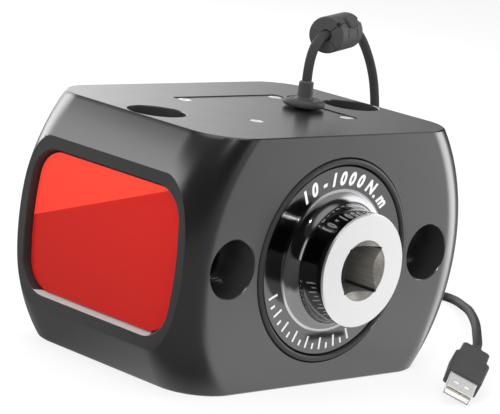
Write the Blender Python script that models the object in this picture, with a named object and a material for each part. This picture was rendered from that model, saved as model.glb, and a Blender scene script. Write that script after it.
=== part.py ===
"""Digital torque analyser: a machined block around a reaction torque transducer, with a USB lead.

Frame: +Z up, origin at the middle of the block's base, the square drive faces -Y.
"""
import math

import bmesh
import bpy
import numpy as np
from mathutils import Matrix, Vector

MM = 0.001

# Clearance between two pieces that touch or seat
GAP = 0.3 * MM

# Housing block
BLOCK_HEIGHT = 105 * MM
BLOCK_DEPTH = 108 * MM
BLOCK_END_WIDTH = 141 * MM
BLOCK_BULGE = 18.5 * MM
CORNER_RADIUS = 20 * MM
EDGE_CHAMFER = 0.5 * MM
FACET_DISTANCE = 81 * MM

# Badge on the left facet
BADGE_HALF_DEPTH = 45.5 * MM
BADGE_HALF_HEIGHT = 30.5 * MM
BADGE_SIDE_BOW = 3.5 * MM
BADGE_CORNER = 14 * MM
BADGE_RECESS = 3.0 * MM
BADGE_THICKNESS = 1.5 * MM
BADGE_DRAFT = 0.9 * MM

# Mounting holes, two through the front and two through the top
MOUNT_SPACING = 115 * MM
MOUNT_HEAD_RADIUS = 12 * MM
MOUNT_HEAD_DEPTH = 17 * MM
MOUNT_HOLE_RADIUS = 8.75 * MM

# Transducer, turned from one bar
SQUARE_DRIVE = 19.05 * MM
DRIVE_DEPTH = 24 * MM
DRIVE_MOUTH_RADIUS = 12.75 * MM
BOSS_RADIUS = 23.75 * MM
BOSS_REACH = 17 * MM
BOSS_FILLET = 6.3 * MM
TURNED_CHAMFER = 0.6 * MM
DIAL_RADIUS = 40 * MM
DIAL_THICKNESS = 9 * MM
NECK_RADIUS = 18.5 * MM
NECK_FILLET = 4 * MM
ROOT_RADIUS = 34.5 * MM
ROOT_THICKNESS = 20 * MM

# Bores of the block around the transducer
DIAL_BORE_RADIUS = 43 * MM
DIAL_BORE_DEPTH = 11 * MM
CAVITY_CLEARANCE = 0.5 * MM
REAR_WALL = 22 * MM

# Rubber seal between the dial and its bore
SEAL_DEPTH = 6 * MM
SEAL_CROWN = 0.9 * MM

# Socket head bolts and dowels that hold the transducer's root
BOLT_COUNT = 8
BOLT_CIRCLE = 25 * MM
BOLT_RADIUS = 4 * MM
BOLT_HEAD_RADIUS = 6.5 * MM
BOLT_HEAD_HEIGHT = 8 * MM
BOLT_GRIP = 12 * MM
BOLT_SOCKET = 3 * MM
BOLT_CLEARANCE = 0.5 * MM
BOLT_CHAMFER = 0.5 * MM
DOWEL_SPACING = 20 * MM
DOWEL_RADIUS = 3 * MM
DOWEL_LENGTH = 24 * MM

# Flush cover over the electronics
COVER_CENTRE_X = 5 * MM
COVER_WIDTH = 61 * MM
COVER_DEPTH = 50.6 * MM
COVER_THICKNESS = 2.5 * MM
COVER_CORNER = 1.5 * MM
COVER_SCREW_INSET = 3.6 * MM
COVER_SCREW_HEAD = 2.9 * MM
COVER_SCREW_SHANK = 1.5 * MM
COVER_SCREW_LENGTH = 9 * MM
COVER_SCREW_SLOT = 0.6 * MM
COVER_SCREW_RIM = 0.2 * MM
GASKET_THICKNESS = 0.8 * MM
LEDGE = 2.2 * MM
POST_RADIUS = 4.6 * MM
POCKET_DEPTH = 14 * MM

# Circuit board and what stands on it
BOARD_SIDE_MARGIN = 5.3 * MM
BOARD_END_MARGIN = 6.1 * MM
BOARD_THICKNESS = 1.6 * MM
BOARD_STAND = 2.4 * MM
BOARD_SCREW_INSET = 3.5 * MM
BOARD_SCREW_SHANK = 1.0 * MM
BOARD_SCREW_HEAD = 2.0 * MM
BOARD_SCREW_LENGTH = 4.2 * MM
STANDOFF_RADIUS = 2.6 * MM
CHIP_HEIGHT = 1.2 * MM
CRYSTAL_HEIGHT = 1.8 * MM
HEADER_HEIGHT = 2.4 * MM
HEADER_WIDTH = 5 * MM
HEADER_DEPTH = 10 * MM
HEADER_FROM_GLAND = 5.5 * MM
BOARD_SCREW_HEAD_HEIGHT = 1.4 * MM

# Strain gauges and their wires
GAUGE_LENGTH = 9 * MM
GAUGE_THICKNESS = 0.5 * MM
GAUGE_HALF_ANGLE = 14
WIRE_RADIUS = 1.1 * MM
WIRE_HOLE_RADIUS = 2.5 * MM

# Gland of the lead
GLAND_INSET = 8 * MM
GLAND_FLANGE_RADIUS = 9.1 * MM
GLAND_FLANGE_HEIGHT = 3.2 * MM
GLAND_STEM_RADIUS = 3.3 * MM
GLAND_STEM_HEIGHT = 7.5 * MM
GLAND_NECK_RADIUS = 4 * MM
GLAND_NUT_RADIUS = 5.4 * MM
GLAND_NUT_HEIGHT = 2.4 * MM
GLAND_BLEND = 0.8 * MM
GLAND_TAPER = 0.15 * MM

# Lead and its clip-on ferrite
LEAD_RADIUS = 2.1 * MM
LEAD_POINT_STEP = 9 * MM
FERRITE_CENTRE = Vector((53.55, 11.06, 135.0)) * MM
FERRITE_HEADING = 23
FERRITE_PITCH = 0.9
FERRITE_ROLL = 45
FERRITE_LENGTH = 24.6 * MM
FERRITE_RADIUS = 8 * MM
FERRITE_WALL = 1.4 * MM
FERRITE_END_WALL = 1.3 * MM
FERRITE_HOLE_RADIUS = 2.5 * MM
FERRITE_CORE_BORE = 2.9 * MM
HINGE_REACH = 0.6 * MM
HINGE_LENGTH = 15 * MM
LATCH_LENGTH = 8 * MM
LATCH_THICKNESS = 0.9 * MM
LATCH_REACH = 3 * MM
LATCH_ROOT = 2.2 * MM
LATCH_ARM = 1.5 * MM
HINGE_LIP_DEPTH = 1.2 * MM
CASE_CHAMFER = 0.5 * MM

# Plug, lying flat on the surface
PLUG_END = Vector((73.4, -75.5, 13.6)) * MM
PLUG_HEADING = 212.6
PLUG_PITCH = 12.2
PLUG_ROLL = -20.7
PLUG_BODY_WIDTH = 16 * MM
PLUG_BODY_HEIGHT = 8.2 * MM
PLUG_BODY_LENGTH = 28 * MM
PLUG_NECK_LENGTH = 4.4 * MM
PLUG_NECK_RADIUS = 3.1 * MM
PLUG_SHOULDER_WIDTH = 12.6 * MM
PLUG_SHOULDER_LENGTH = 9 * MM
PLUG_EDGE = 0.9 * MM
SHELL_WIDTH = 12 * MM
SHELL_HEIGHT = 4.5 * MM
SHELL_REACH = 12 * MM
SHELL_SEAT = 6 * MM
SHELL_WALL = 0.35 * MM
SHELL_WINDOW = 2.4 * MM
TONGUE_THICKNESS = 1.8 * MM
CONTACT_THICKNESS = 0.25 * MM
CONTACT_LENGTH = 8.5 * MM
CONTACT_WIDTH = 1.1 * MM
CONTACT_FROM_MOUTH = 6 * MM
CONTACT_INNER_PLACE = 1.0 * MM
CONTACT_OUTER_PLACE = 3.5 * MM
TONGUE_INSET = 0.6 * MM
PLUG_SLOPE = 1.2 * MM

FINE = 48
MEDIUM = 24
COARSE = 12

AXIS_HEIGHT = BLOCK_HEIGHT / 2
FRONT = Matrix.Translation((0, -BLOCK_DEPTH / 2, AXIS_HEIGHT)) @ Matrix.Rotation(math.pi / 2, 4, "X")
BACK = Matrix.Translation((0, BLOCK_DEPTH / 2, AXIS_HEIGHT)) @ Matrix.Rotation(-math.pi / 2, 4, "X")
LEFT = Matrix.Translation((-FACET_DISTANCE, 0, AXIS_HEIGHT)) @ Matrix.Rotation(-math.pi / 2, 4, "Y")
TOP = Matrix.Translation((0, 0, BLOCK_HEIGHT))


# Outlines


def arc(centre, radius, start, end, steps):
    """Points along an arc, with angles in degrees."""
    return [(centre[0] + radius * math.cos(math.radians(a)), centre[1] + radius * math.sin(math.radians(a)))
            for a in np.linspace(start, end, steps + 1)]


def circle(radius, segments, centre=(0, 0)):
    return arc(centre, radius, 0, 360, segments)[:-1]


def rectangle(width, depth, centre=(0, 0)):
    x, y = width / 2, depth / 2
    return [(centre[0] + sx * x, centre[1] + sy * y) for sx, sy in ((-1, -1), (1, -1), (1, 1), (-1, 1))]


def rounded_rectangle(half_width, half_depth, radius, steps=6):
    x, y = half_width - radius, half_depth - radius
    corners = ((x, -y, -90), (x, y, 0), (-x, y, 90), (-x, -y, 180))
    return [p for cx, cy, a in corners for p in arc((cx, cy), radius, a, a + 90, steps)]


def bowed_outline(half_width, half_height, bow, corner, steps=6):
    """Straight top and bottom, sides that bow out as arcs, and round corners between them."""
    side = (half_height ** 2 + bow ** 2) / (2 * bow)
    centre = half_width - side
    corner_y = half_height - corner
    corner_x = centre + math.sqrt((side - corner) ** 2 - corner_y ** 2)
    turn = math.degrees(math.atan2(corner_y, corner_x - centre))
    quarter = arc((centre, 0), side, 0, turn, 3)[1:] + arc((corner_x, corner_y), corner, turn, 90, steps)[1:]
    upper = quarter + [(-x, y) for x, y in reversed(quarter)]
    return [(half_width, 0)] + upper + [(-half_width, 0)] + [(-x, -y) for x, y in upper]


def notched_rectangle(width, depth, posts, radius, steps=5):
    """A rectangle whose corners are hollowed by a round post each, given from the lower left, anticlockwise."""
    x, y = width / 2, depth / 2
    outline = []
    for (px, py), sx, sy, first in zip(posts, (-1, 1, 1, -1), (-1, -1, 1, 1), ("y", "x", "y", "x")):
        edge_x = px - sx * math.sqrt(radius ** 2 - (y - abs(py)) ** 2)
        edge_y = py - sy * math.sqrt(radius ** 2 - (x - abs(px)) ** 2)
        on_side = math.degrees(math.atan2(edge_y - py, sx * x - px))
        on_end = math.degrees(math.atan2(sy * y - py, edge_x - px))
        start, end = (on_side, on_end) if first == "y" else (on_end, on_side)
        turn = (end - start + 180) % 360 - 180
        outline += arc((px, py), radius, start, start + turn, steps)
    return outline


# Solids


def make_object(name, mesh_builder, place=None):
    """Turns a bmesh into an object, with faces out and sharp edges kept."""
    bmesh.ops.recalc_face_normals(mesh_builder, faces=mesh_builder.faces)
    mesh = bpy.data.meshes.new(name)
    mesh_builder.to_mesh(mesh)
    mesh_builder.free()
    obj = bpy.data.objects.new(name, mesh)
    bpy.context.collection.objects.link(obj)
    if place is not None:
        obj.matrix_world = place
    return obj


def loft(name, loops, place=None):
    """Joins loops of equal length and closes both ends."""
    bm = bmesh.new()
    rings = [[bm.verts.new(p) for p in loop] for loop in loops]
    for low, high in zip(rings, rings[1:]):
        for i in range(len(low)):
            j = (i + 1) % len(low)
            bm.faces.new((low[i], low[j], high[j], high[i]))
    bm.faces.new(list(reversed(rings[0])))
    bm.faces.new(rings[-1])
    return make_object(name, bm, place)


def prism(name, outline, low, high, place=None):
    return loft(name, [[(x, y, z) for x, y in outline] for z in (low, high)], place)


def bar(name, size, centre, place=None):
    """A rectangular solid by its size and centre."""
    outline = rectangle(size[0], size[1], centre[:2])
    return prism(name, outline, centre[2] - size[2] / 2, centre[2] + size[2] / 2, place)


def turned(name, profile, segments, place=None):
    """Revolves a closed profile of (radius, height) about Z; radius 0 gives a pole."""
    bm = bmesh.new()
    rings = []
    for radius, height in profile:
        if radius < 1e-9:
            rings.append([bm.verts.new((0, 0, height))] * segments)
        else:
            rings.append([bm.verts.new((x, y, height)) for x, y in circle(radius, segments)])
    for low, high in zip(rings, rings[1:] + rings[:1]):
        for i in range(segments):
            j = (i + 1) % segments
            corners = list(dict.fromkeys((low[i], low[j], high[j], high[i])))
            if len(corners) > 2:
                bm.faces.new(corners)
    return make_object(name, bm, place)


def pin(name, radius, low, high, segments, place=None, centre=(0, 0)):
    return prism(name, circle(radius, segments, centre), low, high, place)


def combine(target, others, operation):
    """Runs an exact boolean with each of the others, which are then removed."""
    for other in others:
        modifier = target.modifiers.new("boolean", "BOOLEAN")
        modifier.operation = operation
        modifier.solver = "EXACT"
        modifier.object = other
        bpy.context.view_layer.update()
        evaluated = target.evaluated_get(bpy.context.evaluated_depsgraph_get())
        mesh = bpy.data.meshes.new_from_object(evaluated)
        target.modifiers.clear()
        old = target.data
        target.data = mesh
        bpy.data.meshes.remove(old)
        bpy.data.objects.remove(other)
    target.data.name = target.name
    return target


def cut(target, *cutters):
    return combine(target, cutters, "DIFFERENCE")


def join(target, *others):
    return combine(target, others, "UNION")


def finish(obj, material, smooth_angle=30):
    """Gives the object its material and smooths what is round."""
    obj.data.materials.clear()
    obj.data.materials.append(material)
    if obj.type == "MESH":
        obj.data.shade_smooth()
        obj.data.set_sharp_from_angle(angle=math.radians(smooth_angle))
    return obj


def paint(name, colour, roughness, metallic=0.0):
    material = bpy.data.materials.new(name)
    material.use_nodes = True
    shader = material.node_tree.nodes["Principled BSDF"]
    shader.inputs["Base Color"].default_value = (*colour, 1)
    shader.inputs["Roughness"].default_value = roughness
    shader.inputs["Metallic"].default_value = metallic
    return material


def ring_places(count, radius, first=0.0):
    """Centres spaced evenly on a circle."""
    return [(radius * math.cos(first + i * math.tau / count), radius * math.sin(first + i * math.tau / count))
            for i in range(count)]


# Sizes worked out from the driving ones

CAVITY_RADIUS = ROOT_RADIUS + CAVITY_CLEARANCE
MOUNT_X = MOUNT_SPACING / 2
BOLT_HEAD_POCKET = BOLT_HEAD_HEIGHT + 2 * GAP
BOLT_PLACES = ring_places(BOLT_COUNT, BOLT_CIRCLE, math.pi / BOLT_COUNT)
DOWEL_PLACES = [(-DOWEL_SPACING / 2, 0), (DOWEL_SPACING / 2, 0)]
COVER_UNDERSIDE = BLOCK_HEIGHT - COVER_THICKNESS
LEDGE_HEIGHT = COVER_UNDERSIDE - 2 * GAP - GASKET_THICKNESS
POCKET_FLOOR = BLOCK_HEIGHT - POCKET_DEPTH
BOARD_BOTTOM = POCKET_FLOOR + BOARD_STAND + GAP
BOARD_TOP = BOARD_BOTTOM + BOARD_THICKNESS
BOARD_WIDTH = COVER_WIDTH - 2 * (LEDGE + BOARD_SIDE_MARGIN)
BOARD_DEPTH = COVER_DEPTH - 2 * (LEDGE + BOARD_END_MARGIN)
COVER_SCREW_PLACES = rectangle(COVER_WIDTH - 2 * COVER_SCREW_INSET, COVER_DEPTH - 2 * COVER_SCREW_INSET)
BOARD_SCREW_PLACES = rectangle(BOARD_WIDTH - 2 * BOARD_SCREW_INSET, BOARD_DEPTH - 2 * BOARD_SCREW_INSET)
COVER_AXIS = Matrix.Translation((COVER_CENTRE_X, 0, 0))
NECK_FRONT = -DIAL_THICKNESS
ROOT_REAR = -(BLOCK_DEPTH - REAR_WALL - GAP)
ROOT_FRONT = ROOT_REAR + ROOT_THICKNESS
GAUGE_MIDDLE = (NECK_FRONT + ROOT_FRONT) / 2
GLAND_X = COVER_CENTRE_X + COVER_WIDTH / 2 - GLAND_INSET
GLAND_FLANGE_TOP = BLOCK_HEIGHT + GAP + GLAND_FLANGE_HEIGHT
GLAND_TOP = GLAND_FLANGE_TOP + GLAND_STEM_HEIGHT
SHELL_MOUTH = PLUG_NECK_LENGTH + PLUG_BODY_LENGTH + SHELL_REACH
SHELL_LENGTH = SHELL_REACH + SHELL_SEAT
SHELL_MIDDLE = SHELL_MOUTH - SHELL_LENGTH / 2
SHELL_INNER_WIDTH = SHELL_WIDTH - 2 * SHELL_WALL
SHELL_INNER_HEIGHT = SHELL_HEIGHT - 2 * SHELL_WALL


def block_half_width(height):
    """The block's half width, which follows an arc from the base to the top."""
    sagitta_radius = (AXIS_HEIGHT ** 2 + BLOCK_BULGE ** 2) / (2 * BLOCK_BULGE)
    rise = math.sqrt(sagitta_radius ** 2 - (height - AXIS_HEIGHT) ** 2) - sagitta_radius
    return BLOCK_END_WIDTH / 2 + BLOCK_BULGE + rise


# Housing


def pocket_outline():
    """Inside of the electronics pocket, which leaves a post under each cover screw."""
    return notched_rectangle(COVER_WIDTH - 2 * LEDGE, COVER_DEPTH - 2 * LEDGE, COVER_SCREW_PLACES, POST_RADIUS)


def block_loops():
    """Rounded rectangles up the block, the first and last drawn in by the edge chamfer."""
    heights = [EDGE_CHAMFER + (BLOCK_HEIGHT - 2 * EDGE_CHAMFER) * i / 16 for i in range(17)]
    sections = [(0, EDGE_CHAMFER)] + [(z, 0) for z in heights] + [(BLOCK_HEIGHT, EDGE_CHAMFER)]
    loops = []
    for z, inset in sections:
        half_width, half_depth = block_half_width(z) - inset, BLOCK_DEPTH / 2 - inset
        outline = rounded_rectangle(half_width, half_depth, CORNER_RADIUS - inset)
        loops.append([(x, y, z) for x, y in outline])
    return loops


def mounting_hole_cutters():
    """Through holes with a counterbore for a cap screw's head, two along Y and two down Z."""
    over = 1 * MM
    cutters = []
    for side in (-1, 1):
        for place, length in ((FRONT, BLOCK_DEPTH), (TOP, BLOCK_HEIGHT)):
            centre = (side * MOUNT_X, 0)
            cutters.append(pin("hole", MOUNT_HOLE_RADIUS, -length - over, over, MEDIUM, place, centre))
            head = pin("counterbore", MOUNT_HEAD_RADIUS, -MOUNT_HEAD_DEPTH, over, MEDIUM, place, centre)
            cutters.append(head)
    return cutters


def rear_hole_cutters():
    """Counterbored holes for the root's bolts, and dowel holes that don't show."""
    over = 1 * MM
    cutters = []
    for centre in BOLT_PLACES:
        radius = BOLT_RADIUS + BOLT_CLEARANCE
        head = BOLT_HEAD_RADIUS + BOLT_CLEARANCE
        cutters.append(pin("bolt_hole", radius, -REAR_WALL - over, over, COARSE, BACK, centre))
        cutters.append(pin("bolt_head", head, -BOLT_HEAD_POCKET, over, MEDIUM, BACK, centre))
    for centre in DOWEL_PLACES:
        end = -REAR_WALL + DOWEL_LENGTH / 2 + GAP
        cutters.append(pin("dowel", DOWEL_RADIUS + GAP, -REAR_WALL - over, end, COARSE, BACK, centre))
    return cutters


def housing_block(material):
    block = loft("housing_block", block_loops())
    reach = 2 * BLOCK_DEPTH
    facet = prism("facet", rectangle(reach, reach), 0, reach, LEFT)
    badge_depth = BADGE_RECESS + BADGE_THICKNESS + GAP
    levels = ((-badge_depth, BADGE_DRAFT), (0, 0), (EDGE_CHAMFER, 0))
    badge_loops = [[(x, y, z) for x, y in badge_outline(inset)] for z, inset in levels]
    badge_pocket = loft("badge_pocket", badge_loops, LEFT)
    dial_bore = pin("dial_bore", DIAL_BORE_RADIUS, -DIAL_BORE_DEPTH, EDGE_CHAMFER, FINE, FRONT)
    cavity = pin("cavity", CAVITY_RADIUS, -(BLOCK_DEPTH - REAR_WALL), 0, FINE, FRONT)
    cover_size = (COVER_WIDTH + 2 * GAP, COVER_DEPTH + 2 * GAP)
    recess_outline = rounded_rectangle(cover_size[0] / 2, cover_size[1] / 2, COVER_CORNER + GAP, 3)
    recess = prism("recess", recess_outline, LEDGE_HEIGHT, BLOCK_HEIGHT + GAP, COVER_AXIS)
    pocket = prism("pocket", pocket_outline(), POCKET_FLOOR, BLOCK_HEIGHT, COVER_AXIS)
    wire_axis = Matrix.Translation((0, wire_y(), 0))
    wires = pin("wires", WIRE_HOLE_RADIUS, AXIS_HEIGHT, BLOCK_HEIGHT, COARSE, wire_axis)
    cut(block, facet, badge_pocket, dial_bore, cavity, recess, pocket, wires)
    for x, y in BOARD_SCREW_PLACES:
        join(block, pin("stand", STANDOFF_RADIUS, POCKET_FLOOR - GAP, POCKET_FLOOR + BOARD_STAND, COARSE,
                        COVER_AXIS, (x, y)))
        depth = BOARD_SCREW_LENGTH - BOARD_THICKNESS - GAP
        cut(block, pin("thread", BOARD_SCREW_SHANK + GAP, POCKET_FLOOR + BOARD_STAND - depth, BOARD_TOP, COARSE,
                       COVER_AXIS, (x, y)))
    for x, y in COVER_SCREW_PLACES:
        low = BLOCK_HEIGHT - COVER_SCREW_LENGTH - GAP
        cut(block, pin("thread", COVER_SCREW_SHANK + GAP, low, BLOCK_HEIGHT, COARSE, COVER_AXIS, (x, y)))
    cut(block, *mounting_hole_cutters(), *rear_hole_cutters())
    return finish(block, material)


def badge_outline(inset):
    """The badge's outline in the facet's own frame, drawn in by an inset."""
    half_depth, half_height = BADGE_HALF_DEPTH - inset, BADGE_HALF_HEIGHT - inset
    return [(y, x) for x, y in bowed_outline(half_depth, half_height, BADGE_SIDE_BOW, BADGE_CORNER - inset)]


def badge_panel(material):
    top = -BADGE_RECESS
    outline = badge_outline(BADGE_DRAFT + GAP)
    return finish(prism("badge_panel", outline, top - BADGE_THICKNESS, top, LEFT), material)


# Transducer and what holds it


def transducer_profile():
    """From the rear face's middle, out round the root, neck, dial flange and boss, to the boss face."""
    edge = TURNED_CHAMFER
    root_fillet = arc((NECK_RADIUS + NECK_FILLET, ROOT_FRONT + NECK_FILLET), NECK_FILLET, 270, 180, 3)
    dial_fillet = arc((NECK_RADIUS + NECK_FILLET, NECK_FRONT - NECK_FILLET), NECK_FILLET, 180, 90, 3)
    boss_fillet = arc((BOSS_RADIUS + BOSS_FILLET, BOSS_FILLET), BOSS_FILLET, 270, 180, 5)
    return [(0, ROOT_REAR), (ROOT_RADIUS - edge, ROOT_REAR), (ROOT_RADIUS, ROOT_REAR + edge),
            (ROOT_RADIUS, ROOT_FRONT), *root_fillet, *dial_fillet,
            (DIAL_RADIUS, NECK_FRONT), (DIAL_RADIUS, -edge), (DIAL_RADIUS - edge, 0), *boss_fillet,
            (BOSS_RADIUS, BOSS_REACH - edge), (BOSS_RADIUS - edge, BOSS_REACH), (0, BOSS_REACH)]


def torque_transducer(material):
    """The turned body with its square drive, whose mouth is countersunk."""
    body = turned("torque_transducer", transducer_profile(), FINE, FRONT)
    floor = BOSS_REACH - DRIVE_DEPTH
    square = prism("square", rectangle(SQUARE_DRIVE, SQUARE_DRIVE), floor, BOSS_REACH + GAP, FRONT)
    relief = pin("relief", SQUARE_DRIVE / 2 + GAP, floor - 3 * MM, floor + 2 * MM, MEDIUM, FRONT)
    sink = DRIVE_MOUTH_RADIUS - SQUARE_DRIVE / 2
    mouth = turned("mouth", [(0, BOSS_REACH - sink), (DRIVE_MOUTH_RADIUS - sink, BOSS_REACH - sink),
                             (DRIVE_MOUTH_RADIUS, BOSS_REACH), (DRIVE_MOUTH_RADIUS, BOSS_REACH + GAP),
                             (0, BOSS_REACH + GAP)], MEDIUM, FRONT)
    cut(body, square, relief, mouth)
    low = ROOT_REAR - GAP
    for x, y in BOLT_PLACES:
        cut(body, pin("thread", BOLT_RADIUS + GAP, low, ROOT_REAR + BOLT_GRIP + 2 * GAP, COARSE, FRONT, (x, y)))
    for x, y in DOWEL_PLACES:
        depth = DOWEL_LENGTH / 2 + GAP
        cut(body, pin("dowel", DOWEL_RADIUS + GAP, low, ROOT_REAR + depth, COARSE, FRONT, (x, y)))
    return finish(body, material)


def dial_seal(material):
    """A rubber ring with a domed face, which closes the slot round the dial."""
    inner, outer = DIAL_RADIUS + GAP, DIAL_BORE_RADIUS - GAP
    middle, half = (inner + outer) / 2, (outer - inner) / 2
    dome = [(middle + half * math.cos(a), SEAL_CROWN * math.sin(a)) for a in np.linspace(0, math.pi, 5)]
    profile = [(inner, -SEAL_DEPTH), (outer, -SEAL_DEPTH), *dome]
    return finish(turned("dial_seal", profile, FINE, FRONT), material, 40)


def transducer_bolts(material):
    """Socket head cap screws, driven from the back."""
    head_top = -GAP
    head_bottom = head_top - BOLT_HEAD_HEIGHT
    tip = -REAR_WALL - GAP - BOLT_GRIP
    for i, (x, y) in enumerate(BOLT_PLACES):
        place = BACK @ Matrix.Translation((x, y, 0))
        profile = [(0, tip), (BOLT_RADIUS, tip), (BOLT_RADIUS, head_bottom), (BOLT_HEAD_RADIUS, head_bottom),
                   (BOLT_HEAD_RADIUS, head_top - BOLT_CHAMFER), (BOLT_HEAD_RADIUS - BOLT_CHAMFER, head_top),
                   (0, head_top)]
        bolt = turned(f"transducer_bolt_{i + 1}", profile, COARSE + 4, place)
        cut(bolt, pin("hexagon", BOLT_SOCKET / math.cos(math.pi / 6), head_top - BOLT_RADIUS, GAP, 6, place))
        finish(bolt, material)


def dowel_pins(material):
    middle = -REAR_WALL - GAP / 2
    for i, centre in enumerate(DOWEL_PLACES):
        low, high = middle - DOWEL_LENGTH / 2, middle + DOWEL_LENGTH / 2
        finish(pin(f"dowel_pin_{i + 1}", DOWEL_RADIUS, low, high, COARSE, BACK, centre), material)


def strain_gauges(material):
    """Curved patches round the neck, a quarter turn apart."""
    inner = NECK_RADIUS + GAP
    outer = inner + GAUGE_THICKNESS
    for i in range(4):
        middle = 90 * i + 90
        start, end = middle - GAUGE_HALF_ANGLE, middle + GAUGE_HALF_ANGLE
        outline = arc((0, 0), inner, start, end, 4) + arc((0, 0), outer, end, start, 4)
        low, high = GAUGE_MIDDLE - GAUGE_LENGTH / 2, GAUGE_MIDDLE + GAUGE_LENGTH / 2
        finish(prism(f"strain_gauge_{i + 1}", outline, low, high, FRONT), material)


def wire_y():
    """Depth at which the gauges' wires rise, straight above the upper gauge."""
    return -BLOCK_DEPTH / 2 - GAUGE_MIDDLE


def gauge_wires(material):
    low = AXIS_HEIGHT + NECK_RADIUS + 2 * GAP + GAUGE_THICKNESS
    place = Matrix.Translation((0, wire_y(), 0))
    finish(pin("gauge_wires", WIRE_RADIUS, low, BOARD_BOTTOM - GAP, COARSE, place), material)


# Electronics under the cover


def cover_plate(material):
    outline = rounded_rectangle(COVER_WIDTH / 2, COVER_DEPTH / 2, COVER_CORNER, 3)
    plate = prism("cover_plate", outline, COVER_UNDERSIDE, BLOCK_HEIGHT, COVER_AXIS)
    gland = pin("gland", GLAND_NECK_RADIUS + GAP, COVER_UNDERSIDE - GAP, BLOCK_HEIGHT + GAP, MEDIUM,
                Matrix.Translation((GLAND_X, 0, 0)))
    cut(plate, gland)
    head, shank = COVER_SCREW_HEAD + GAP, COVER_SCREW_SHANK + GAP
    sink = head - shank
    for x, y in COVER_SCREW_PLACES:
        profile = [(0, COVER_UNDERSIDE - GAP), (shank, COVER_UNDERSIDE - GAP), (shank, BLOCK_HEIGHT - sink),
                   (head, BLOCK_HEIGHT), (head, BLOCK_HEIGHT + GAP), (0, BLOCK_HEIGHT + GAP)]
        cut(plate, turned("sink", profile, COARSE + 4, COVER_AXIS @ Matrix.Translation((x, y, 0))))
    return finish(plate, material)


def cover_screws(material):
    """Countersunk screws with a slot, their heads level with the plate."""
    tip = BLOCK_HEIGHT - COVER_SCREW_LENGTH
    sink = COVER_SCREW_HEAD - COVER_SCREW_SHANK
    for i, (x, y) in enumerate(COVER_SCREW_PLACES):
        place = COVER_AXIS @ Matrix.Translation((x, y, 0))
        cone_top = BLOCK_HEIGHT - COVER_SCREW_RIM
        profile = [(0, tip), (COVER_SCREW_SHANK, tip), (COVER_SCREW_SHANK, cone_top - sink),
                   (COVER_SCREW_HEAD, cone_top), (COVER_SCREW_HEAD, BLOCK_HEIGHT), (0, BLOCK_HEIGHT)]
        screw = turned(f"cover_screw_{i + 1}", profile, COARSE + 4, place)
        slot_size = (2 * COVER_SCREW_HEAD + MM, COVER_SCREW_SLOT, 2 * COVER_SCREW_SLOT)
        slot = bar("slot", slot_size, (0, 0, BLOCK_HEIGHT), place @ Matrix.Rotation(i * 0.9, 4, "Z"))
        finish(cut(screw, slot), material)


def cover_gasket(material):
    """A flat frame on the ledge, pierced for the cover's screws."""
    outline = rounded_rectangle(COVER_WIDTH / 2 - GAP, COVER_DEPTH / 2 - GAP, COVER_CORNER, 3)
    low = LEDGE_HEIGHT + GAP
    high = low + GASKET_THICKNESS
    gasket = prism("cover_gasket", outline, low, high, COVER_AXIS)
    cut(gasket, prism("inside", pocket_outline(), low - GAP, high + GAP, COVER_AXIS))
    for x, y in COVER_SCREW_PLACES:
        cut(gasket, pin("screw", COVER_SCREW_SHANK + GAP, low - GAP, high + GAP, COARSE, COVER_AXIS, (x, y)))
    return finish(gasket, material)


def circuit_board(material):
    board = prism("circuit_board", rectangle(BOARD_WIDTH, BOARD_DEPTH), BOARD_BOTTOM, BOARD_TOP, COVER_AXIS)
    for x, y in BOARD_SCREW_PLACES:
        radius = BOARD_SCREW_SHANK + GAP
        cut(board, pin("hole", radius, BOARD_BOTTOM - GAP, BOARD_TOP + GAP, COARSE, COVER_AXIS, (x, y)))
    return finish(board, material)


def board_screws(material):
    """Cheese head screws into the pocket's standoffs."""
    seat = BOARD_TOP + GAP
    head_top = seat + BOARD_SCREW_HEAD_HEIGHT
    tip = seat - BOARD_SCREW_LENGTH
    for i, (x, y) in enumerate(BOARD_SCREW_PLACES):
        profile = [(0, tip), (BOARD_SCREW_SHANK, tip), (BOARD_SCREW_SHANK, seat), (BOARD_SCREW_HEAD, seat),
                   (BOARD_SCREW_HEAD, head_top), (0, head_top)]
        place = COVER_AXIS @ Matrix.Translation((x, y, 0))
        finish(turned(f"board_screw_{i + 1}", profile, COARSE, place), material)


def board_parts(chip_material, connector_material):
    """Chips placed from the board's edges, and the connector below the gland."""
    seat = BOARD_TOP + GAP
    left, right = -BOARD_WIDTH / 2, BOARD_WIDTH / 2
    front, rear = -BOARD_DEPTH / 2, BOARD_DEPTH / 2
    chips = (("processor_chip", (left + 14 * MM, front + 15 * MM), (10 * MM, 10 * MM), CHIP_HEIGHT),
             ("converter_chip", (left + 27 * MM, front + 9 * MM), (7 * MM, 5 * MM), CHIP_HEIGHT),
             ("memory_chip", (right - 18 * MM, rear - 10 * MM), (5 * MM, 6 * MM), CHIP_HEIGHT),
             ("crystal", (left + 6 * MM, rear - 10 * MM), (4 * MM, 2 * MM), CRYSTAL_HEIGHT))
    for name, (x, y), (width, depth), height in chips:
        finish(bar(name, (width, depth, height), (x, y, seat + height / 2), COVER_AXIS), chip_material)
    place = (GLAND_X - COVER_CENTRE_X - HEADER_FROM_GLAND, 0, seat + HEADER_HEIGHT / 2)
    header = bar("board_connector", (HEADER_WIDTH, HEADER_DEPTH, HEADER_HEIGHT), place, COVER_AXIS)
    finish(header, connector_material)


# Gland, lead and ferrite


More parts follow.
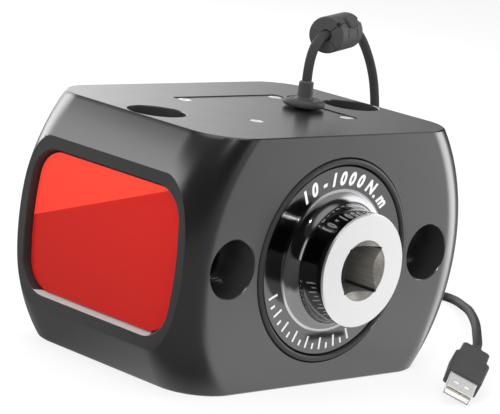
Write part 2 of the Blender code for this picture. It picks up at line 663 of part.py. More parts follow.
def cable_gland(material):
    """A moulded grommet: neck through the cover, round flange with a bead, and stem."""
    x, flange = GLAND_FLANGE_RADIUS, GLAND_FLANGE_HEIGHT
    base = BLOCK_HEIGHT + GAP
    bottom = COVER_UNDERSIDE - GAP - GLAND_NUT_HEIGHT - 2 * GAP
    bead = flange / 2
    rim = [(x - bead + bead * math.cos(a), base + bead + bead * math.sin(a))
           for a in np.linspace(-math.pi / 2, math.pi / 2, 7)]
    shoulder = GLAND_STEM_RADIUS + GLAND_BLEND
    profile = [(0, bottom), (GLAND_NECK_RADIUS, bottom), (GLAND_NECK_RADIUS, base), *rim,
               (shoulder, GLAND_FLANGE_TOP), (GLAND_STEM_RADIUS, GLAND_FLANGE_TOP + GLAND_BLEND),
               (GLAND_STEM_RADIUS - GLAND_TAPER, GLAND_TOP), (0, GLAND_TOP)]
    return finish(turned("cable_gland", profile, MEDIUM, Matrix.Translation((GLAND_X, 0, 0))), material)


def gland_nut(material):
    high = COVER_UNDERSIDE - GAP
    low = high - GLAND_NUT_HEIGHT
    place = Matrix.Translation((GLAND_X, 0, 0))
    nut = pin("gland_nut", GLAND_NUT_RADIUS, low, high, 6, place)
    thread = pin("thread", GLAND_NECK_RADIUS + GAP, low - GAP, high + GAP, MEDIUM, place)
    return finish(cut(nut, thread), material)


def ferrite_frame():
    """Its X points to the latch, its Y out of the half that opens, its Z back along the lead."""
    heading, pitch, roll = (math.radians(a) for a in (FERRITE_HEADING, FERRITE_PITCH, FERRITE_ROLL))
    along = Vector((math.cos(heading) * math.cos(pitch), math.sin(heading) * math.cos(pitch), math.sin(pitch)))
    across = along.cross(Vector((0, 0, 1))).normalized()
    upright = across.cross(along)
    latch = across * math.cos(roll) + upright * math.sin(roll)
    opening = upright * math.cos(roll) - across * math.sin(roll)
    axes = Matrix((latch, opening, -along)).transposed().to_4x4()
    return Matrix.Translation(FERRITE_CENTRE) @ axes


def lead_route():
    """Centre line from the gland, through the ferrite, beside the block, and over a low hump to the plug."""
    frame = ferrite_frame()
    half = FERRITE_LENGTH / 2
    entry, leaving = (frame @ Vector((0, 0, z)) for z in (half, -half))
    rise = [(0, 0, 0), (0, 0, 5), (1.1, 0.5, 10), (4.1, 1.8, 14.6), (9.0, 3.8, 17.6)]
    start = Vector((GLAND_X, 0, GLAND_TOP + GAP))
    drop = [(73.5, 19.5, 134.6), (81.8, 23.1, 131.6), (89.6, 26.4, 126.6), (97.9, 29.9, 119.6),
            (105.3, 33.0, 111.5), (110.8, 35.4, 103), (114.9, 37.1, 92.5), (117.5, 38.2, 78), (118.8, 38.8, 62),
            (119.4, 39.0, 46), (119.8, 39.2, 31), (121.9, 40.0, 18.5), (126.9, 42.2, 8.5), (135.2, 45.7, 2.5)]
    lying = [(149.5, 50.5), (161, 49), (170.5, 42.5), (175.5, 32)]
    hump = [(174.6, 22, 2.4), (163.8, 9.2, 4.4), (145.3, -10.4, 8.5), (123, -31.7, 12.5), (102, -51, 15.5),
            (88.3, -63.1, 16.3)]
    points = [start + Vector(p) * MM for p in rise] + [entry, FERRITE_CENTRE, leaving]
    points += [Vector(p) * MM for p in drop]
    points += [Vector((x * MM, y * MM, LEAD_RADIUS)) for x, y in lying]
    points += [Vector(p) * MM for p in hump]
    return points + [plug_frame() @ Vector((-6 * MM, 0, 0)), PLUG_END]


def smooth_route(points, step):
    """Reads a smooth curve through the points at about equal steps."""
    padded = [2 * points[0] - points[1], *points, 2 * points[-1] - points[-2]]
    fine = []
    for a, b, c, d in zip(padded, padded[1:], padded[2:], padded[3:]):
        for t in np.linspace(0, 1, 12, endpoint=False):
            fine.append(0.5 * (2 * b + (c - a) * t + (2 * a - 5 * b + 4 * c - d) * t ** 2
                               + (3 * b - a - 3 * c + d) * t ** 3))
    fine.append(points[-1])
    travelled = np.concatenate([[0], np.cumsum([(q - p).length for p, q in zip(fine, fine[1:])])])
    marks = np.linspace(0, travelled[-1], round(travelled[-1] / step) + 1)
    return [Vector([np.interp(m, travelled, [p[i] for p in fine]) for i in range(3)]) for m in marks]


def usb_lead(material):
    curve = bpy.data.curves.new("usb_lead", "CURVE")
    curve.dimensions = "3D"
    curve.bevel_depth = LEAD_RADIUS
    curve.bevel_resolution = 2
    curve.use_fill_caps = True
    points = smooth_route(lead_route(), LEAD_POINT_STEP)
    spline = curve.splines.new("POLY")
    spline.points.add(len(points) - 1)
    for target, point in zip(spline.points, points):
        target.co = (*point, 1)
    obj = bpy.data.objects.new("usb_lead", curve)
    bpy.context.collection.objects.link(obj)
    return finish(obj, material)


def case_half(name, frame, side):
    """Half of the ferrite's case, open at the split; side 1 is the half that opens, -1 the one that stays."""
    half = FERRITE_LENGTH / 2
    inner, chamfer = FERRITE_RADIUS - FERRITE_WALL, CASE_CHAMFER
    end = half - FERRITE_END_WALL
    profile = [(FERRITE_HOLE_RADIUS, -half), (FERRITE_RADIUS - chamfer, -half),
               (FERRITE_RADIUS, -half + chamfer), (FERRITE_RADIUS, half - chamfer),
               (FERRITE_RADIUS - chamfer, half), (FERRITE_HOLE_RADIUS, half),
               (FERRITE_HOLE_RADIUS, end), (inner, end), (inner, -end), (FERRITE_HOLE_RADIUS, -end)]
    case = turned(name, profile, MEDIUM, frame)
    reach = 4 * FERRITE_RADIUS
    cut(case, bar("other_half", (reach, reach, reach), (0, side * (GAP / 2 - reach / 2), 0), frame))
    lip_x = -FERRITE_RADIUS - HINGE_REACH / 2 + FERRITE_WALL / 2
    lip = bar("lip", (HINGE_REACH + FERRITE_WALL, HINGE_LIP_DEPTH, HINGE_LENGTH),
              (lip_x, side * (GAP + HINGE_LIP_DEPTH) / 2, 0), frame)
    join(case, lip)
    for end_side in (-1, 1):
        notch = bar("notch", (3 * MM, 2 * MM, 4 * MM), (FERRITE_RADIUS, 0, end_side * half), frame)
        cut(case, notch)
    return case


def ferrite_case(material):
    """Two half shells: the moving one carries the latch, the fixed one a rest for it."""
    frame = ferrite_frame()
    moving = case_half("ferrite_case_hinged", frame, 1)
    outside = FERRITE_RADIUS + GAP
    latch = bar("latch", (LATCH_THICKNESS, LATCH_REACH + LATCH_ROOT, LATCH_LENGTH),
                (outside + LATCH_THICKNESS / 2, (LATCH_ROOT - LATCH_REACH) / 2, 0), frame)
    arm = bar("arm", (LATCH_ARM, LATCH_ROOT - GAP, LATCH_LENGTH), (outside, (LATCH_ROOT + GAP) / 2, 0), frame)
    finish(join(moving, latch, arm), material)
    fixed = case_half("ferrite_case_fixed", frame, -1)
    for z in (-2 * MM, -7 * MM):
        slot = bar("slot", (6 * MM, 2 * MM, 0.8 * MM), (0, -FERRITE_RADIUS, z), frame)
        cut(fixed, slot)
    finish(fixed, material)


def ferrite_core(material):
    frame = ferrite_frame()
    half = FERRITE_LENGTH / 2 - FERRITE_END_WALL - GAP
    outer = FERRITE_RADIUS - FERRITE_WALL - GAP
    reach = 4 * FERRITE_RADIUS
    for name, side in (("ferrite_core_hinged", 1), ("ferrite_core_fixed", -1)):
        profile = [(FERRITE_CORE_BORE, -half), (outer, -half), (outer, half), (FERRITE_CORE_BORE, half)]
        core = turned(name, profile, MEDIUM, frame)
        cut(core, bar("other_half", (reach, reach, reach), (0, side * (GAP / 2 - reach / 2), 0), frame))
        finish(core, material)


# Plug


def plug_frame():
    """Its X points out of the mouth, which rests on one corner; its origin is where the lead ends."""
    turns = ((PLUG_HEADING, "Z"), (PLUG_PITCH, "Y"), (PLUG_ROLL, "X"))
    frame = Matrix.Translation(PLUG_END)
    for degrees, axis in turns:
        frame = frame @ Matrix.Rotation(math.radians(degrees), 4, axis)
    return frame


def plug_body(material):
    """Moulded grip with a narrower shoulder, a round neck and a seat for the shell."""
    frame = plug_frame()
    rear = PLUG_NECK_LENGTH
    front = rear + PLUG_BODY_LENGTH
    wide, narrow = PLUG_BODY_WIDTH / 2, PLUG_SHOULDER_WIDTH / 2
    step = rear + PLUG_SHOULDER_LENGTH
    half_outline = [(rear, narrow - PLUG_SLOPE), (rear + PLUG_SLOPE, narrow), (step, narrow),
                    (step + PLUG_SLOPE, wide), (front, wide - PLUG_EDGE / 2)]
    outline = half_outline + [(x, -y) for x, y in reversed(half_outline)]
    body = prism("usb_plug_body", outline, -PLUG_BODY_HEIGHT / 2, PLUG_BODY_HEIGHT / 2, frame)
    bevel = body.modifiers.new("soft_edges", "BEVEL")
    bevel.width = PLUG_EDGE
    bevel.segments = 2
    bevel.limit_method = "ANGLE"
    bevel.angle_limit = math.radians(50)
    sideways = Matrix.Rotation(math.pi / 2, 4, "Y")
    neck = pin("neck", PLUG_NECK_RADIUS, GAP, rear + PLUG_SLOPE, COARSE, frame @ sideways)
    seat = bar("seat", (SHELL_SEAT + 2 * GAP, SHELL_WIDTH + 2 * GAP, SHELL_HEIGHT + 2 * GAP),
               (front - SHELL_SEAT / 2, 0, 0), frame)
    finish(cut(join(body, neck), seat), material)


def plug_shell(material):
    """A folded metal box, open at both ends, with two windows in its top and bottom."""
    frame = plug_frame()
    shell = bar("usb_plug_shell", (SHELL_LENGTH, SHELL_WIDTH, SHELL_HEIGHT), (SHELL_MIDDLE, 0, 0), frame)
    inner_size = (SHELL_LENGTH + MM, SHELL_INNER_WIDTH, SHELL_INNER_HEIGHT)
    cut(shell, bar("inside", inner_size, (SHELL_MIDDLE, 0, 0), frame))
    for y in (-SHELL_WINDOW, SHELL_WINDOW):
        size = (SHELL_WINDOW, SHELL_WINDOW, 2 * SHELL_HEIGHT)
        cut(shell, bar("window", size, (SHELL_MOUTH - SHELL_REACH / 2, y, 0), frame))
    finish(shell, material)


def plug_tongue(material, contact_material):
    """The insulator in the lower half of the mouth, with four contacts on it."""
    frame = plug_frame()
    tongue_top = -SHELL_INNER_HEIGHT / 2 + GAP + TONGUE_THICKNESS
    tongue_size = (SHELL_LENGTH - 2 * TONGUE_INSET, SHELL_INNER_WIDTH - 2 * GAP, TONGUE_THICKNESS)
    tongue = bar("usb_plug_tongue", tongue_size, (SHELL_MIDDLE, 0, tongue_top - TONGUE_THICKNESS / 2), frame)
    finish(tongue, material)
    places = (-CONTACT_OUTER_PLACE, -CONTACT_INNER_PLACE, CONTACT_INNER_PLACE, CONTACT_OUTER_PLACE)
    for i, y in enumerate(places):
        centre = (SHELL_MOUTH - CONTACT_FROM_MOUTH, y, tongue_top + GAP + CONTACT_THICKNESS / 2)
        contact = bar(f"usb_contact_{i + 1}", (CONTACT_LENGTH, CONTACT_WIDTH, CONTACT_THICKNESS), centre, frame)
        finish(contact, contact_material)


def build():
    for obj in list(bpy.data.objects):
        bpy.data.objects.remove(obj)
    steel = paint("zinc_steel", (0.62, 0.62, 0.60), 0.3, 1.0)
    rubber = paint("black_rubber", (0.02, 0.02, 0.02), 0.6)
    plastic = paint("black_plastic", (0.03, 0.03, 0.03), 0.45)
    gold = paint("gold_contact", (0.83, 0.62, 0.25), 0.25, 1.0)
    anodised = paint("black_anodised", (0.045, 0.045, 0.047), 0.38, 0.4)
    housing_block(anodised)
    badge_panel(paint("red_gloss", (0.75, 0.04, 0.03), 0.12))
    torque_transducer(paint("polished_steel", (0.55, 0.55, 0.56), 0.18, 1.0))
    dial_seal(rubber)
    transducer_bolts(paint("blackened_steel", (0.05, 0.05, 0.05), 0.4, 0.8))
    dowel_pins(steel)
    strain_gauges(paint("amber_foil", (0.6, 0.35, 0.1), 0.4))
    gauge_wires(plastic)
    cover_plate(anodised)
    cover_screws(steel)
    cover_gasket(rubber)
    circuit_board(paint("green_board", (0.02, 0.18, 0.07), 0.5))
    board_screws(steel)
    board_parts(plastic, paint("white_plastic", (0.8, 0.8, 0.76), 0.4))
    cable_gland(rubber)
    gland_nut(plastic)
    usb_lead(plastic)
    ferrite_case(plastic)
    ferrite_core(paint("grey_ferrite", (0.09, 0.09, 0.10), 0.5, 0.2))
    plug_body(plastic)
    plug_shell(steel)
    plug_tongue(paint("plug_insert", (0.85, 0.85, 0.83), 0.4), gold)


build()
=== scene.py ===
"""Looks of the digital torque analyser: its finishes, dial print, lead, studio and camera.

Metres, +Z up, the origin under the middle of the block, the square drive faces -Y.
"""
from math import atan2, cos, degrees, pi, radians, sin, sqrt, tau

import bmesh
import bpy
import numpy as np
from mathutils import Matrix, Vector


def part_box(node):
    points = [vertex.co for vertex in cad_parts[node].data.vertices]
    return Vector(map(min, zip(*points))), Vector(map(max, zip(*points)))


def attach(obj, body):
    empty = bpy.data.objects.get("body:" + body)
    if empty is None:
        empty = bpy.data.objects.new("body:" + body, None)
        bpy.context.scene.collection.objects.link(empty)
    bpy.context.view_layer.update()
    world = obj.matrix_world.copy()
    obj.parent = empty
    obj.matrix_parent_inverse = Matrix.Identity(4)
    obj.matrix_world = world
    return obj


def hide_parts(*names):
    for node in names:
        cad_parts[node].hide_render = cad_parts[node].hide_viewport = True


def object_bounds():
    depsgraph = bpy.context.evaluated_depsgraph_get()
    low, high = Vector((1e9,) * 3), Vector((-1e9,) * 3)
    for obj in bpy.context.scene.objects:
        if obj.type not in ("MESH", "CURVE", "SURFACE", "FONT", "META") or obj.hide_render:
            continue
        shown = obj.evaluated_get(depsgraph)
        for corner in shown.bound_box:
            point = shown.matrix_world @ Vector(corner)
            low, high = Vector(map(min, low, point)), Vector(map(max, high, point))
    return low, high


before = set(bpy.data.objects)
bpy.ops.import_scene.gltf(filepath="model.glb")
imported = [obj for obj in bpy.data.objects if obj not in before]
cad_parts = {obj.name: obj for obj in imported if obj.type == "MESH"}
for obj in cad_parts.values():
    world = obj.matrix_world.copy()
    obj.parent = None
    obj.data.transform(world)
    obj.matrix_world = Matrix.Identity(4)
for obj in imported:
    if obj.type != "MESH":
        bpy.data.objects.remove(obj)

MM = 0.001
CAD_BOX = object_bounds()

# Sizes read from the frame
BLOCK_LOW, BLOCK_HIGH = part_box("housing_block")
BLOCK_HEIGHT = BLOCK_HIGH.z - BLOCK_LOW.z
BLOCK_DEPTH = BLOCK_HIGH.y - BLOCK_LOW.y
AXIS_Z = BLOCK_HEIGHT / 2
FACET_X = BLOCK_LOW.x
DRIVE_LOW, DRIVE_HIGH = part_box("torque_transducer")
DIAL_RADIUS = DRIVE_HIGH.x
BOSS_REACH = -BLOCK_DEPTH / 2 - DRIVE_LOW.y
ROOT_REAR = -BLOCK_DEPTH / 2 - DRIVE_HIGH.y
COVER_LOW, COVER_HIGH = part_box("cover_plate")
COVER_WIDTH = COVER_HIGH.x - COVER_LOW.x
COVER_DEPTH = COVER_HIGH.y - COVER_LOW.y
COVER_X = (COVER_LOW.x + COVER_HIGH.x) / 2
GLAND_LOW, GLAND_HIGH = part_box("cable_gland")
GLAND_X = (GLAND_LOW.x + GLAND_HIGH.x) / 2

# Clearance between pieces, and how far a cutter reaches past the surface that it opens
GAP = 0.3 * MM
OVER = 1 * MM

# Housing block
END_WIDTH = 141 * MM
CORNER_RADIUS = 20 * MM
EDGE_CHAMFER = 0.5 * MM
MOUTH_CHAMFER = 0.35 * MM
BADGE_HALF_Y = 45.5 * MM
BADGE_HALF_Z = 30.5 * MM
BADGE_SIDE_BOW = 3.5 * MM
BADGE_CORNER = 14 * MM
BADGE_RECESS = 3.0 * MM
BADGE_THICKNESS = 1.5 * MM
BADGE_DRAFT = 0.9 * MM
BADGE_EDGE = 0.35 * MM
BORDER_SLOPE = -0.358
BORDER_HEIGHT = 68.6 * MM
MOUNT_X = 57.5 * MM
MOUNT_RADIUS = 12 * MM
MOUNT_DEPTH = 17 * MM
MOUNT_HOLE_RADIUS = 8.75 * MM

# Transducer
SQUARE = 19.05 * MM
DRIVE_DEPTH = 24 * MM
MOUTH_RADIUS = 12.75 * MM
BOSS_RADIUS = 23.75 * MM
BOSS_FILLET = 6.3 * MM
TURNED_CHAMFER = 0.6 * MM
DIAL_THICKNESS = 9 * MM
NECK_RADIUS = 18.5 * MM
NECK_FILLET = 4 * MM
ROOT_RADIUS = 34.5 * MM
ROOT_THICKNESS = 20 * MM
BORE_RADIUS = 43 * MM
BORE_DEPTH = 11 * MM
CAVITY_RADIUS = 35 * MM
REAR_WALL = 22 * MM
SEAL_DEPTH = 6 * MM
SEAL_CROWN = 0.9 * MM

# Bolts from the back
BOLT_COUNT = 8
BOLT_CIRCLE = 25 * MM
BOLT_RADIUS = 4 * MM
BOLT_HEAD = 6.5 * MM
BOLT_HEAD_HEIGHT = 8 * MM
BOLT_PLAY = 0.5 * MM
BOLT_SOCKET = 3 * MM
BOLT_TIP = -REAR_WALL - GAP - 12 * MM

# Cover, its screws and the pocket below
COVER_SINK = 0.35 * MM
COVER_EDGE = 0.12 * MM
COVER_CORNER = 1.5 * MM
SCREW_INSET = 3.6 * MM
SCREW_HEAD = 2.9 * MM
SCREW_SHANK = 1.5 * MM
SCREW_LENGTH = 9 * MM
SCREW_RIM = 0.2 * MM
SCREW_SOCKET = 1.15 * MM
SCREW_TWIST = 0.9
LEDGE = 2.2 * MM
LEDGE_DEPTH = 3.9 * MM
POST_RADIUS = 4.6 * MM
POCKET_DEPTH = 14 * MM
STAND_RADIUS = 2.6 * MM
STAND_HEIGHT = 2.4 * MM
STAND_BORE = 1.3 * MM
BOARD_SCREW_SPACING = (39 * MM, 27 * MM)

# Gland
FLANGE_HEIGHT = 3.2 * MM
STEM_RADIUS = 3.3 * MM
STEM_FILLET = 1.2 * MM
GLAND_NECK_RADIUS = 4 * MM

# Lead and ferrite
LEAD_RADIUS = 2.1 * MM
LEAD_POINT_STEP = 3 * MM
LEAD_EASING = 8
LEAD_EASED_FROM = 0.66
FERRITE_CENTRE = Vector((53.55, 11.06, 135.0)) * MM
CASE_LENGTH = 24.6 * MM
CASE_RADIUS = 8 * MM
CASE_EDGE = 0.8 * MM
CASE_WALL = 1.4 * MM
CASE_END_WALL = 1.3 * MM
LEAD_HOLE_RADIUS = 2.5 * MM
HINGE_REACH = 0.6 * MM
HINGE_DEPTH = 1.2 * MM
HINGE_LENGTH = 15 * MM
LATCH_LENGTH = 8 * MM
LATCH_THICKNESS = 0.9 * MM
NOTCH_SIZE = Vector((3, 2, 4)) * MM
SLOT_SIZE = Vector((3.2, 2, 0.8)) * MM
SLOT_HEIGHT = 5.4 * MM
SLOT_BEARING = 53

# Plug
PLUG_END = Vector((73.4, -75.5, 13.6)) * MM
PLUG_BODY_WIDTH = 16 * MM
PLUG_BODY_HEIGHT = 8.2 * MM
PLUG_BODY_LENGTH = 28 * MM
PLUG_NECK_LENGTH = 4.4 * MM
PLUG_NECK_RADIUS = 3.1 * MM
SHOULDER_WIDTH = 12.6 * MM
SHOULDER_LENGTH = 9 * MM
PLUG_SLOPE = 1.2 * MM
PLUG_EDGE = 1.0 * MM
SHELL_WIDTH = 12 * MM
SHELL_HEIGHT = 4.5 * MM
SHELL_REACH = 12 * MM
SHELL_SEAT = 6 * MM
SHELL_WALL = 0.35 * MM
SHELL_WINDOW = 2.4 * MM
SHELL_CORNER = 0.7 * MM
INSULATOR_DEPTH = 13.6 * MM
INSULATOR_HEIGHT = 0.5 * MM

# Print on the dial: characters with the angle of each, anticlockwise from the right
PRINT_RADIUS = 32 * MM
PRINT_HEIGHT = 5.4 * MM
PRINT_DEPTH = 0.04 * MM
PRINT_NARROWING = 0.9
PRINT_LEAN = 0.28
PRINT_BOLDNESS = 0.044
PRINT = (("1", 128.5), ("0", 119.3), ("-", 109), ("1", 100.2), ("0", 91.5), ("0", 82.5), ("0", 73.5),
         ("N", 61.5), (".", 54), ("m", 45))
TICK_COUNT = 15
TICK_FIRST = -158
TICK_LAST = -66
TICK_LENGTH = 5 * MM
TICK_WIDTH = 0.95 * MM
TICK_RADIUS = 35 * MM

# Camera, from the photograph's viewpoint, with a lens for a sensor 36 mm wide
CAMERA_PLACE = Vector((-769.139, -750.366, 277.499)) * MM
CAMERA_FORWARD = Vector((0.703293, 0.683327, -0.196072))
CAMERA_UP = Vector((0.048486, 0.229059, 0.972204))
CAMERA_LENS = 186.77

# What surfaces mirror round the horizon: degrees to the right of the camera's forward direction, and strength
ROUND_ABOUT = ((-180, 0.02), (-150, 0.02), (-130, 2.4), (-108, 2.8), (-92, 2.2), (-68, 1.6), (-57, 4.2),
               (-42, 4.2), (-30, 1.2), (-11, 2.8), (-5, 1.8), (1, 0.55), (9, 0.1), (42, 0.03), (50, 3.8),
               (70, 3.8), (84, 1.0), (102, 0.9), (116, 0.02), (180, 0.02))
AHEAD = Vector((0.717, 0.697))
SKY_LIGHT = 0.62
FLOOR_GREY = 0.86
FLOOR_SHOWN_WHITE = 0.82
FLOOR_MIRRORED = 0.85


def rotation(angle, axis):
    return Matrix.Rotation(radians(angle), 4, axis)


def place_at(origin, *turns):
    """A place at the origin, turned about its own axes one after another."""
    place = Matrix.Translation(origin)
    for angle, axis in turns:
        place = place @ rotation(angle, axis)
    return place


# Their Z points out of the block's faces
FRONT = place_at((0, -BLOCK_DEPTH / 2, AXIS_Z), (90, "X"))
BACK = place_at((0, BLOCK_DEPTH / 2, AXIS_Z), (-90, "X"))
LEFT = place_at((FACET_X, 0, AXIS_Z), (-90, "Y"))
TOP = place_at((0, 0, BLOCK_HEIGHT))
COVER_TOP = place_at((COVER_X, 0, BLOCK_HEIGHT))
SUNK_TOP = place_at((COVER_X, 0, BLOCK_HEIGHT - COVER_SINK))
# Its X points to the latch, its Y out of the half that opens, its Z back along the lead
FERRITE = place_at(FERRITE_CENTRE, (23, "Z"), (-90.9, "Y"), (-45, "Z"))
# Its X points out of the mouth, which rests on one corner; its origin is where the lead ends
PLUG = place_at(PLUG_END, (212.6, "Z"), (12.2, "Y"), (-20.7, "X"))


# Node trees


def operator(operation, reflected=False):
    """A method for one of Python's operators, which adds a Math node."""
    def add_node(wire, other):
        return wire.maths(operation, *((other, wire) if reflected else (wire, other)))
    return add_node


class Wire:
    """The output of a node; Python's operators on it add Math nodes."""

    def __init__(self, graph, socket):
        self.graph = graph
        self.socket = socket

    def maths(self, operation, first, second=0.0):
        return self.graph.node("ShaderNodeMath", {0: first, 1: second}, {"operation": operation})

    def do(self, operation):
        return self.maths(operation, self)

    __add__, __radd__ = operator("ADD"), operator("ADD", True)
    __sub__, __rsub__ = operator("SUBTRACT"), operator("SUBTRACT", True)
    __mul__, __rmul__ = operator("MULTIPLY"), operator("MULTIPLY", True)
    __truediv__, __mod__ = operator("DIVIDE"), operator("FLOORED_MODULO")
    __gt__, __lt__ = operator("GREATER_THAN"), operator("LESS_THAN")


class Graph:
    """A node tree being written."""

    def __init__(self, tree):
        self.tree = tree

    def plug(self, socket, value):
        if isinstance(value, Wire):
            self.tree.links.new(value.socket, socket)
        else:
            socket.default_value = value

    def node(self, kind, inputs=None, settings=None, output=0):
        node = given(self.tree.nodes.new(kind), **(settings or {}))
        for name, value in (inputs or {}).items():
            self.plug(node.inputs[name], value)
        return Wire(self, node.outputs[output])

    def outputs(self, wire, *names):
        """Wires from other outputs of a wire's node."""
        return [Wire(self, wire.socket.node.outputs[name]) for name in names]

    def parts(self, vector):
        return self.outputs(self.node("ShaderNodeSeparateXYZ", {0: vector}), "X", "Y", "Z")

    def vector(self, x, y, z):
        return self.node("ShaderNodeCombineXYZ", {0: x, 1: y, 2: z})

    def rays(self):
        """Whether a ray comes from the camera, and whether from a mirroring surface."""
        return self.outputs(self.node("ShaderNodeLightPath"), "Is Camera Ray", "Is Glossy Ray")

    def ease(self, value, low, high):
        """0 below low, 1 above high and smooth between them; low may be the larger."""
        return self.node("ShaderNodeMapRange", {"Value": value, "From Min": low, "From Max": high},
                         {"interpolation_type": "SMOOTHSTEP"})

    def distance(self, x, y):
        return (x * x + y * y).do("SQRT")


class Finish(Graph):
    """A material on the Principled shader; colours are wires, (r, g, b) or a grey."""

    def __init__(self, name, colour, roughness, metallic=0.0, **constants):
        self.material = bpy.data.materials.new(name)
        self.material.use_nodes = True
        super().__init__(self.material.node_tree)
        self.shader = self.tree.nodes["Principled BSDF"]
        self.set(Base_Color=self.tint(colour), Roughness=roughness, Metallic=metallic, **constants)

    def tint(self, colour):
        if isinstance(colour, Wire):
            return colour
        return (*colour, 1) if isinstance(colour, tuple) else (colour, colour, colour, 1)

    def set(self, **values):
        for name, value in values.items():
            self.plug(self.shader.inputs[name.replace("_", " ")], value)

    def where(self):
        return self.node("ShaderNodeTexCoord", output="Object")

    def noise(self, scale, detail=3.0, stretch=(1, 1, 1), vector=None):
        """Noise with features about 1 / scale metres across, longer where the stretch is small."""
        placed = self.node("ShaderNodeMapping", {"Vector": vector or self.where(), "Scale": stretch})
        return self.node("ShaderNodeTexNoise", {"Vector": placed, "Scale": scale, "Detail": detail})

    def blend(self, factor, first, second):
        """A colour between two."""
        return self.node("ShaderNodeMix", {0: factor, 6: self.tint(first), 7: self.tint(second)},
                         {"data_type": "RGBA"}, 2)

    def bump(self, height, distance):
        self.set(Normal=self.node("ShaderNodeBump", {"Height": height, "Distance": distance}))


class Pattern(Graph):
    """A Geometry Nodes tree with named sizes."""

    def __init__(self, name):
        super().__init__(bpy.data.node_groups.new(name, "GeometryNodeTree"))
        self.tree.interface.new_socket("Geometry", in_out="OUTPUT", socket_type="NodeSocketGeometry")
        self.values = {}

    def sizes(self, **values):
        """Adds an input for each value and gives their wires."""
        for name, value in values.items():
            kind = "NodeSocketInt" if isinstance(value, int) else "NodeSocketFloat"
            socket = self.tree.interface.new_socket(name, in_out="INPUT", socket_type=kind)
            self.values[socket.identifier] = value
        return self.outputs(Wire(self, self.tree.nodes.new("NodeGroupInput").outputs[0]), *values)

    def copies(self, points, prototype, rotation=None, scale=None):
        """A copy at each point of an object or of a wire's geometry."""
        if not isinstance(prototype, Wire):
            prototype = self.node("GeometryNodeObjectInfo", {"Object": prototype}, output="Geometry")
        inputs = {"Points": points, "Instance": prototype, "Rotation": rotation, "Scale": scale}
        return self.node("GeometryNodeInstanceOnPoints", {k: v for k, v in inputs.items() if v is not None})

    def make(self, geometry, finish, place=None):
        """Runs the tree and returns its result as an object with a plain mesh."""
        real = self.node("GeometryNodeRealizeInstances", {"Geometry": geometry})
        dressed = self.node("GeometryNodeSetMaterial", {"Geometry": real, "Material": finish.material})
        self.plug(self.tree.nodes.new("NodeGroupOutput").inputs[0], dressed)
        obj = new_object("pattern", bpy.data.meshes.new("pattern"))
        modifier = given(obj.modifiers.new("pattern", "NODES"), node_group=self.tree)
        for identifier, value in self.values.items():
            modifier[identifier] = value
        mesh = evaluated_mesh(obj)
        obj.modifiers.clear()
        obj.data = mesh
        if place is not None:
            mesh.transform(place)
        return obj


# Outlines and meshes


def arc(centre, radius, start, end, steps):
    """Points along an arc, with angles in degrees."""
    return [(centre[0] + radius * cos(radians(a)), centre[1] + radius * sin(radians(a)))
            for a in np.linspace(start, end, steps + 1)]


def circle(radius, segments, centre=(0, 0)):
    return arc(centre, radius, 0, 360, segments)[:-1]


def rectangle(width, depth, centre=(0, 0)):
    x, y = width / 2, depth / 2
    return [(centre[0] + sx * x, centre[1] + sy * y) for sx, sy in ((-1, -1), (1, -1), (1, 1), (-1, 1))]


def rounded_rectangle(half_width, half_depth, radius, steps=8):
    x, y = half_width - radius, half_depth - radius
    corners = ((x, -y, -90), (x, y, 0), (-x, y, 90), (-x, -y, 180))
    return [p for cx, cy, a in corners for p in arc((cx, cy), radius, a, a + 90, steps)]


def bowed_outline(half_width, half_height, bow, corner):
    """Straight top and bottom, sides that bow out as arcs, and round corners."""
    side = (half_height ** 2 + bow ** 2) / (2 * bow)
    centre = half_width - side
    corner_y = half_height - corner
    corner_x = centre + sqrt((side - corner) ** 2 - corner_y ** 2)
    turn = degrees(atan2(corner_y, corner_x - centre))
    quarter = [*arc((centre, 0), side, 0, turn, 6)[1:], *arc((corner_x, corner_y), corner, turn, 90, 20)[1:]]
    upper = quarter + [(-x, y) for x, y in reversed(quarter)]
    return [(half_width, 0)] + upper + [(-half_width, 0)] + [(-x, -y) for x, y in upper]


def notched_rectangle(width, depth, post, radius):
    """A rectangle with a round post in each corner, the upper right one at post."""
    x, y = width / 2 - post[0], depth / 2 - post[1]
    on_side = degrees(atan2(-sqrt(radius ** 2 - x ** 2), x))
    on_end = degrees(atan2(y, -sqrt(radius ** 2 - y ** 2)))
    quarter = arc(post, radius, on_side, on_end - 360, 8)
    upper = quarter + [(-x, y) for x, y in reversed(quarter)]
    return upper + [(-x, -y) for x, y in upper]


def lifted(outline, height):
    return [(x, y, height) for x, y in outline]


def given(thing, **settings):
    for name, value in settings.items():
        setattr(thing, name, value)
    return thing


def new_object(name, data):
    obj = bpy.data.objects.new(name, data)
    bpy.context.scene.collection.objects.link(obj)
    return obj


def evaluated_mesh(obj):
    bpy.context.view_layer.update()
    return bpy.data.meshes.new_from_object(obj.evaluated_get(bpy.context.evaluated_depsgraph_get()))


def baked(obj, kind, **settings):
    """Applies a modifier and leaves a plain mesh."""
    given(obj.modifiers.new(kind, kind), **settings)
    mesh = evaluated_mesh(obj)
    obj.modifiers.clear()
    obj.data = mesh
    return obj


def mesh_object(bm, place=None):
    """An object at the origin, its place in its mesh, with the faces turned out."""
    bmesh.ops.recalc_face_normals(bm, faces=bm.faces)
    if place is not None:
        bm.transform(place)
    mesh = bpy.data.meshes.new("shape")
    bm.to_mesh(mesh)
    bm.free()
    return new_object("shape", mesh)


def band(bm, low, high):
    """Faces between two rings; a ring of one vertex repeated is a pole."""
    for i in range(len(low)):
        j = (i + 1) % len(low)
        corners = list(dict.fromkeys((low[i], low[j], high[j], high[i])))
        if len(corners) > 2:
            bm.faces.new(corners)


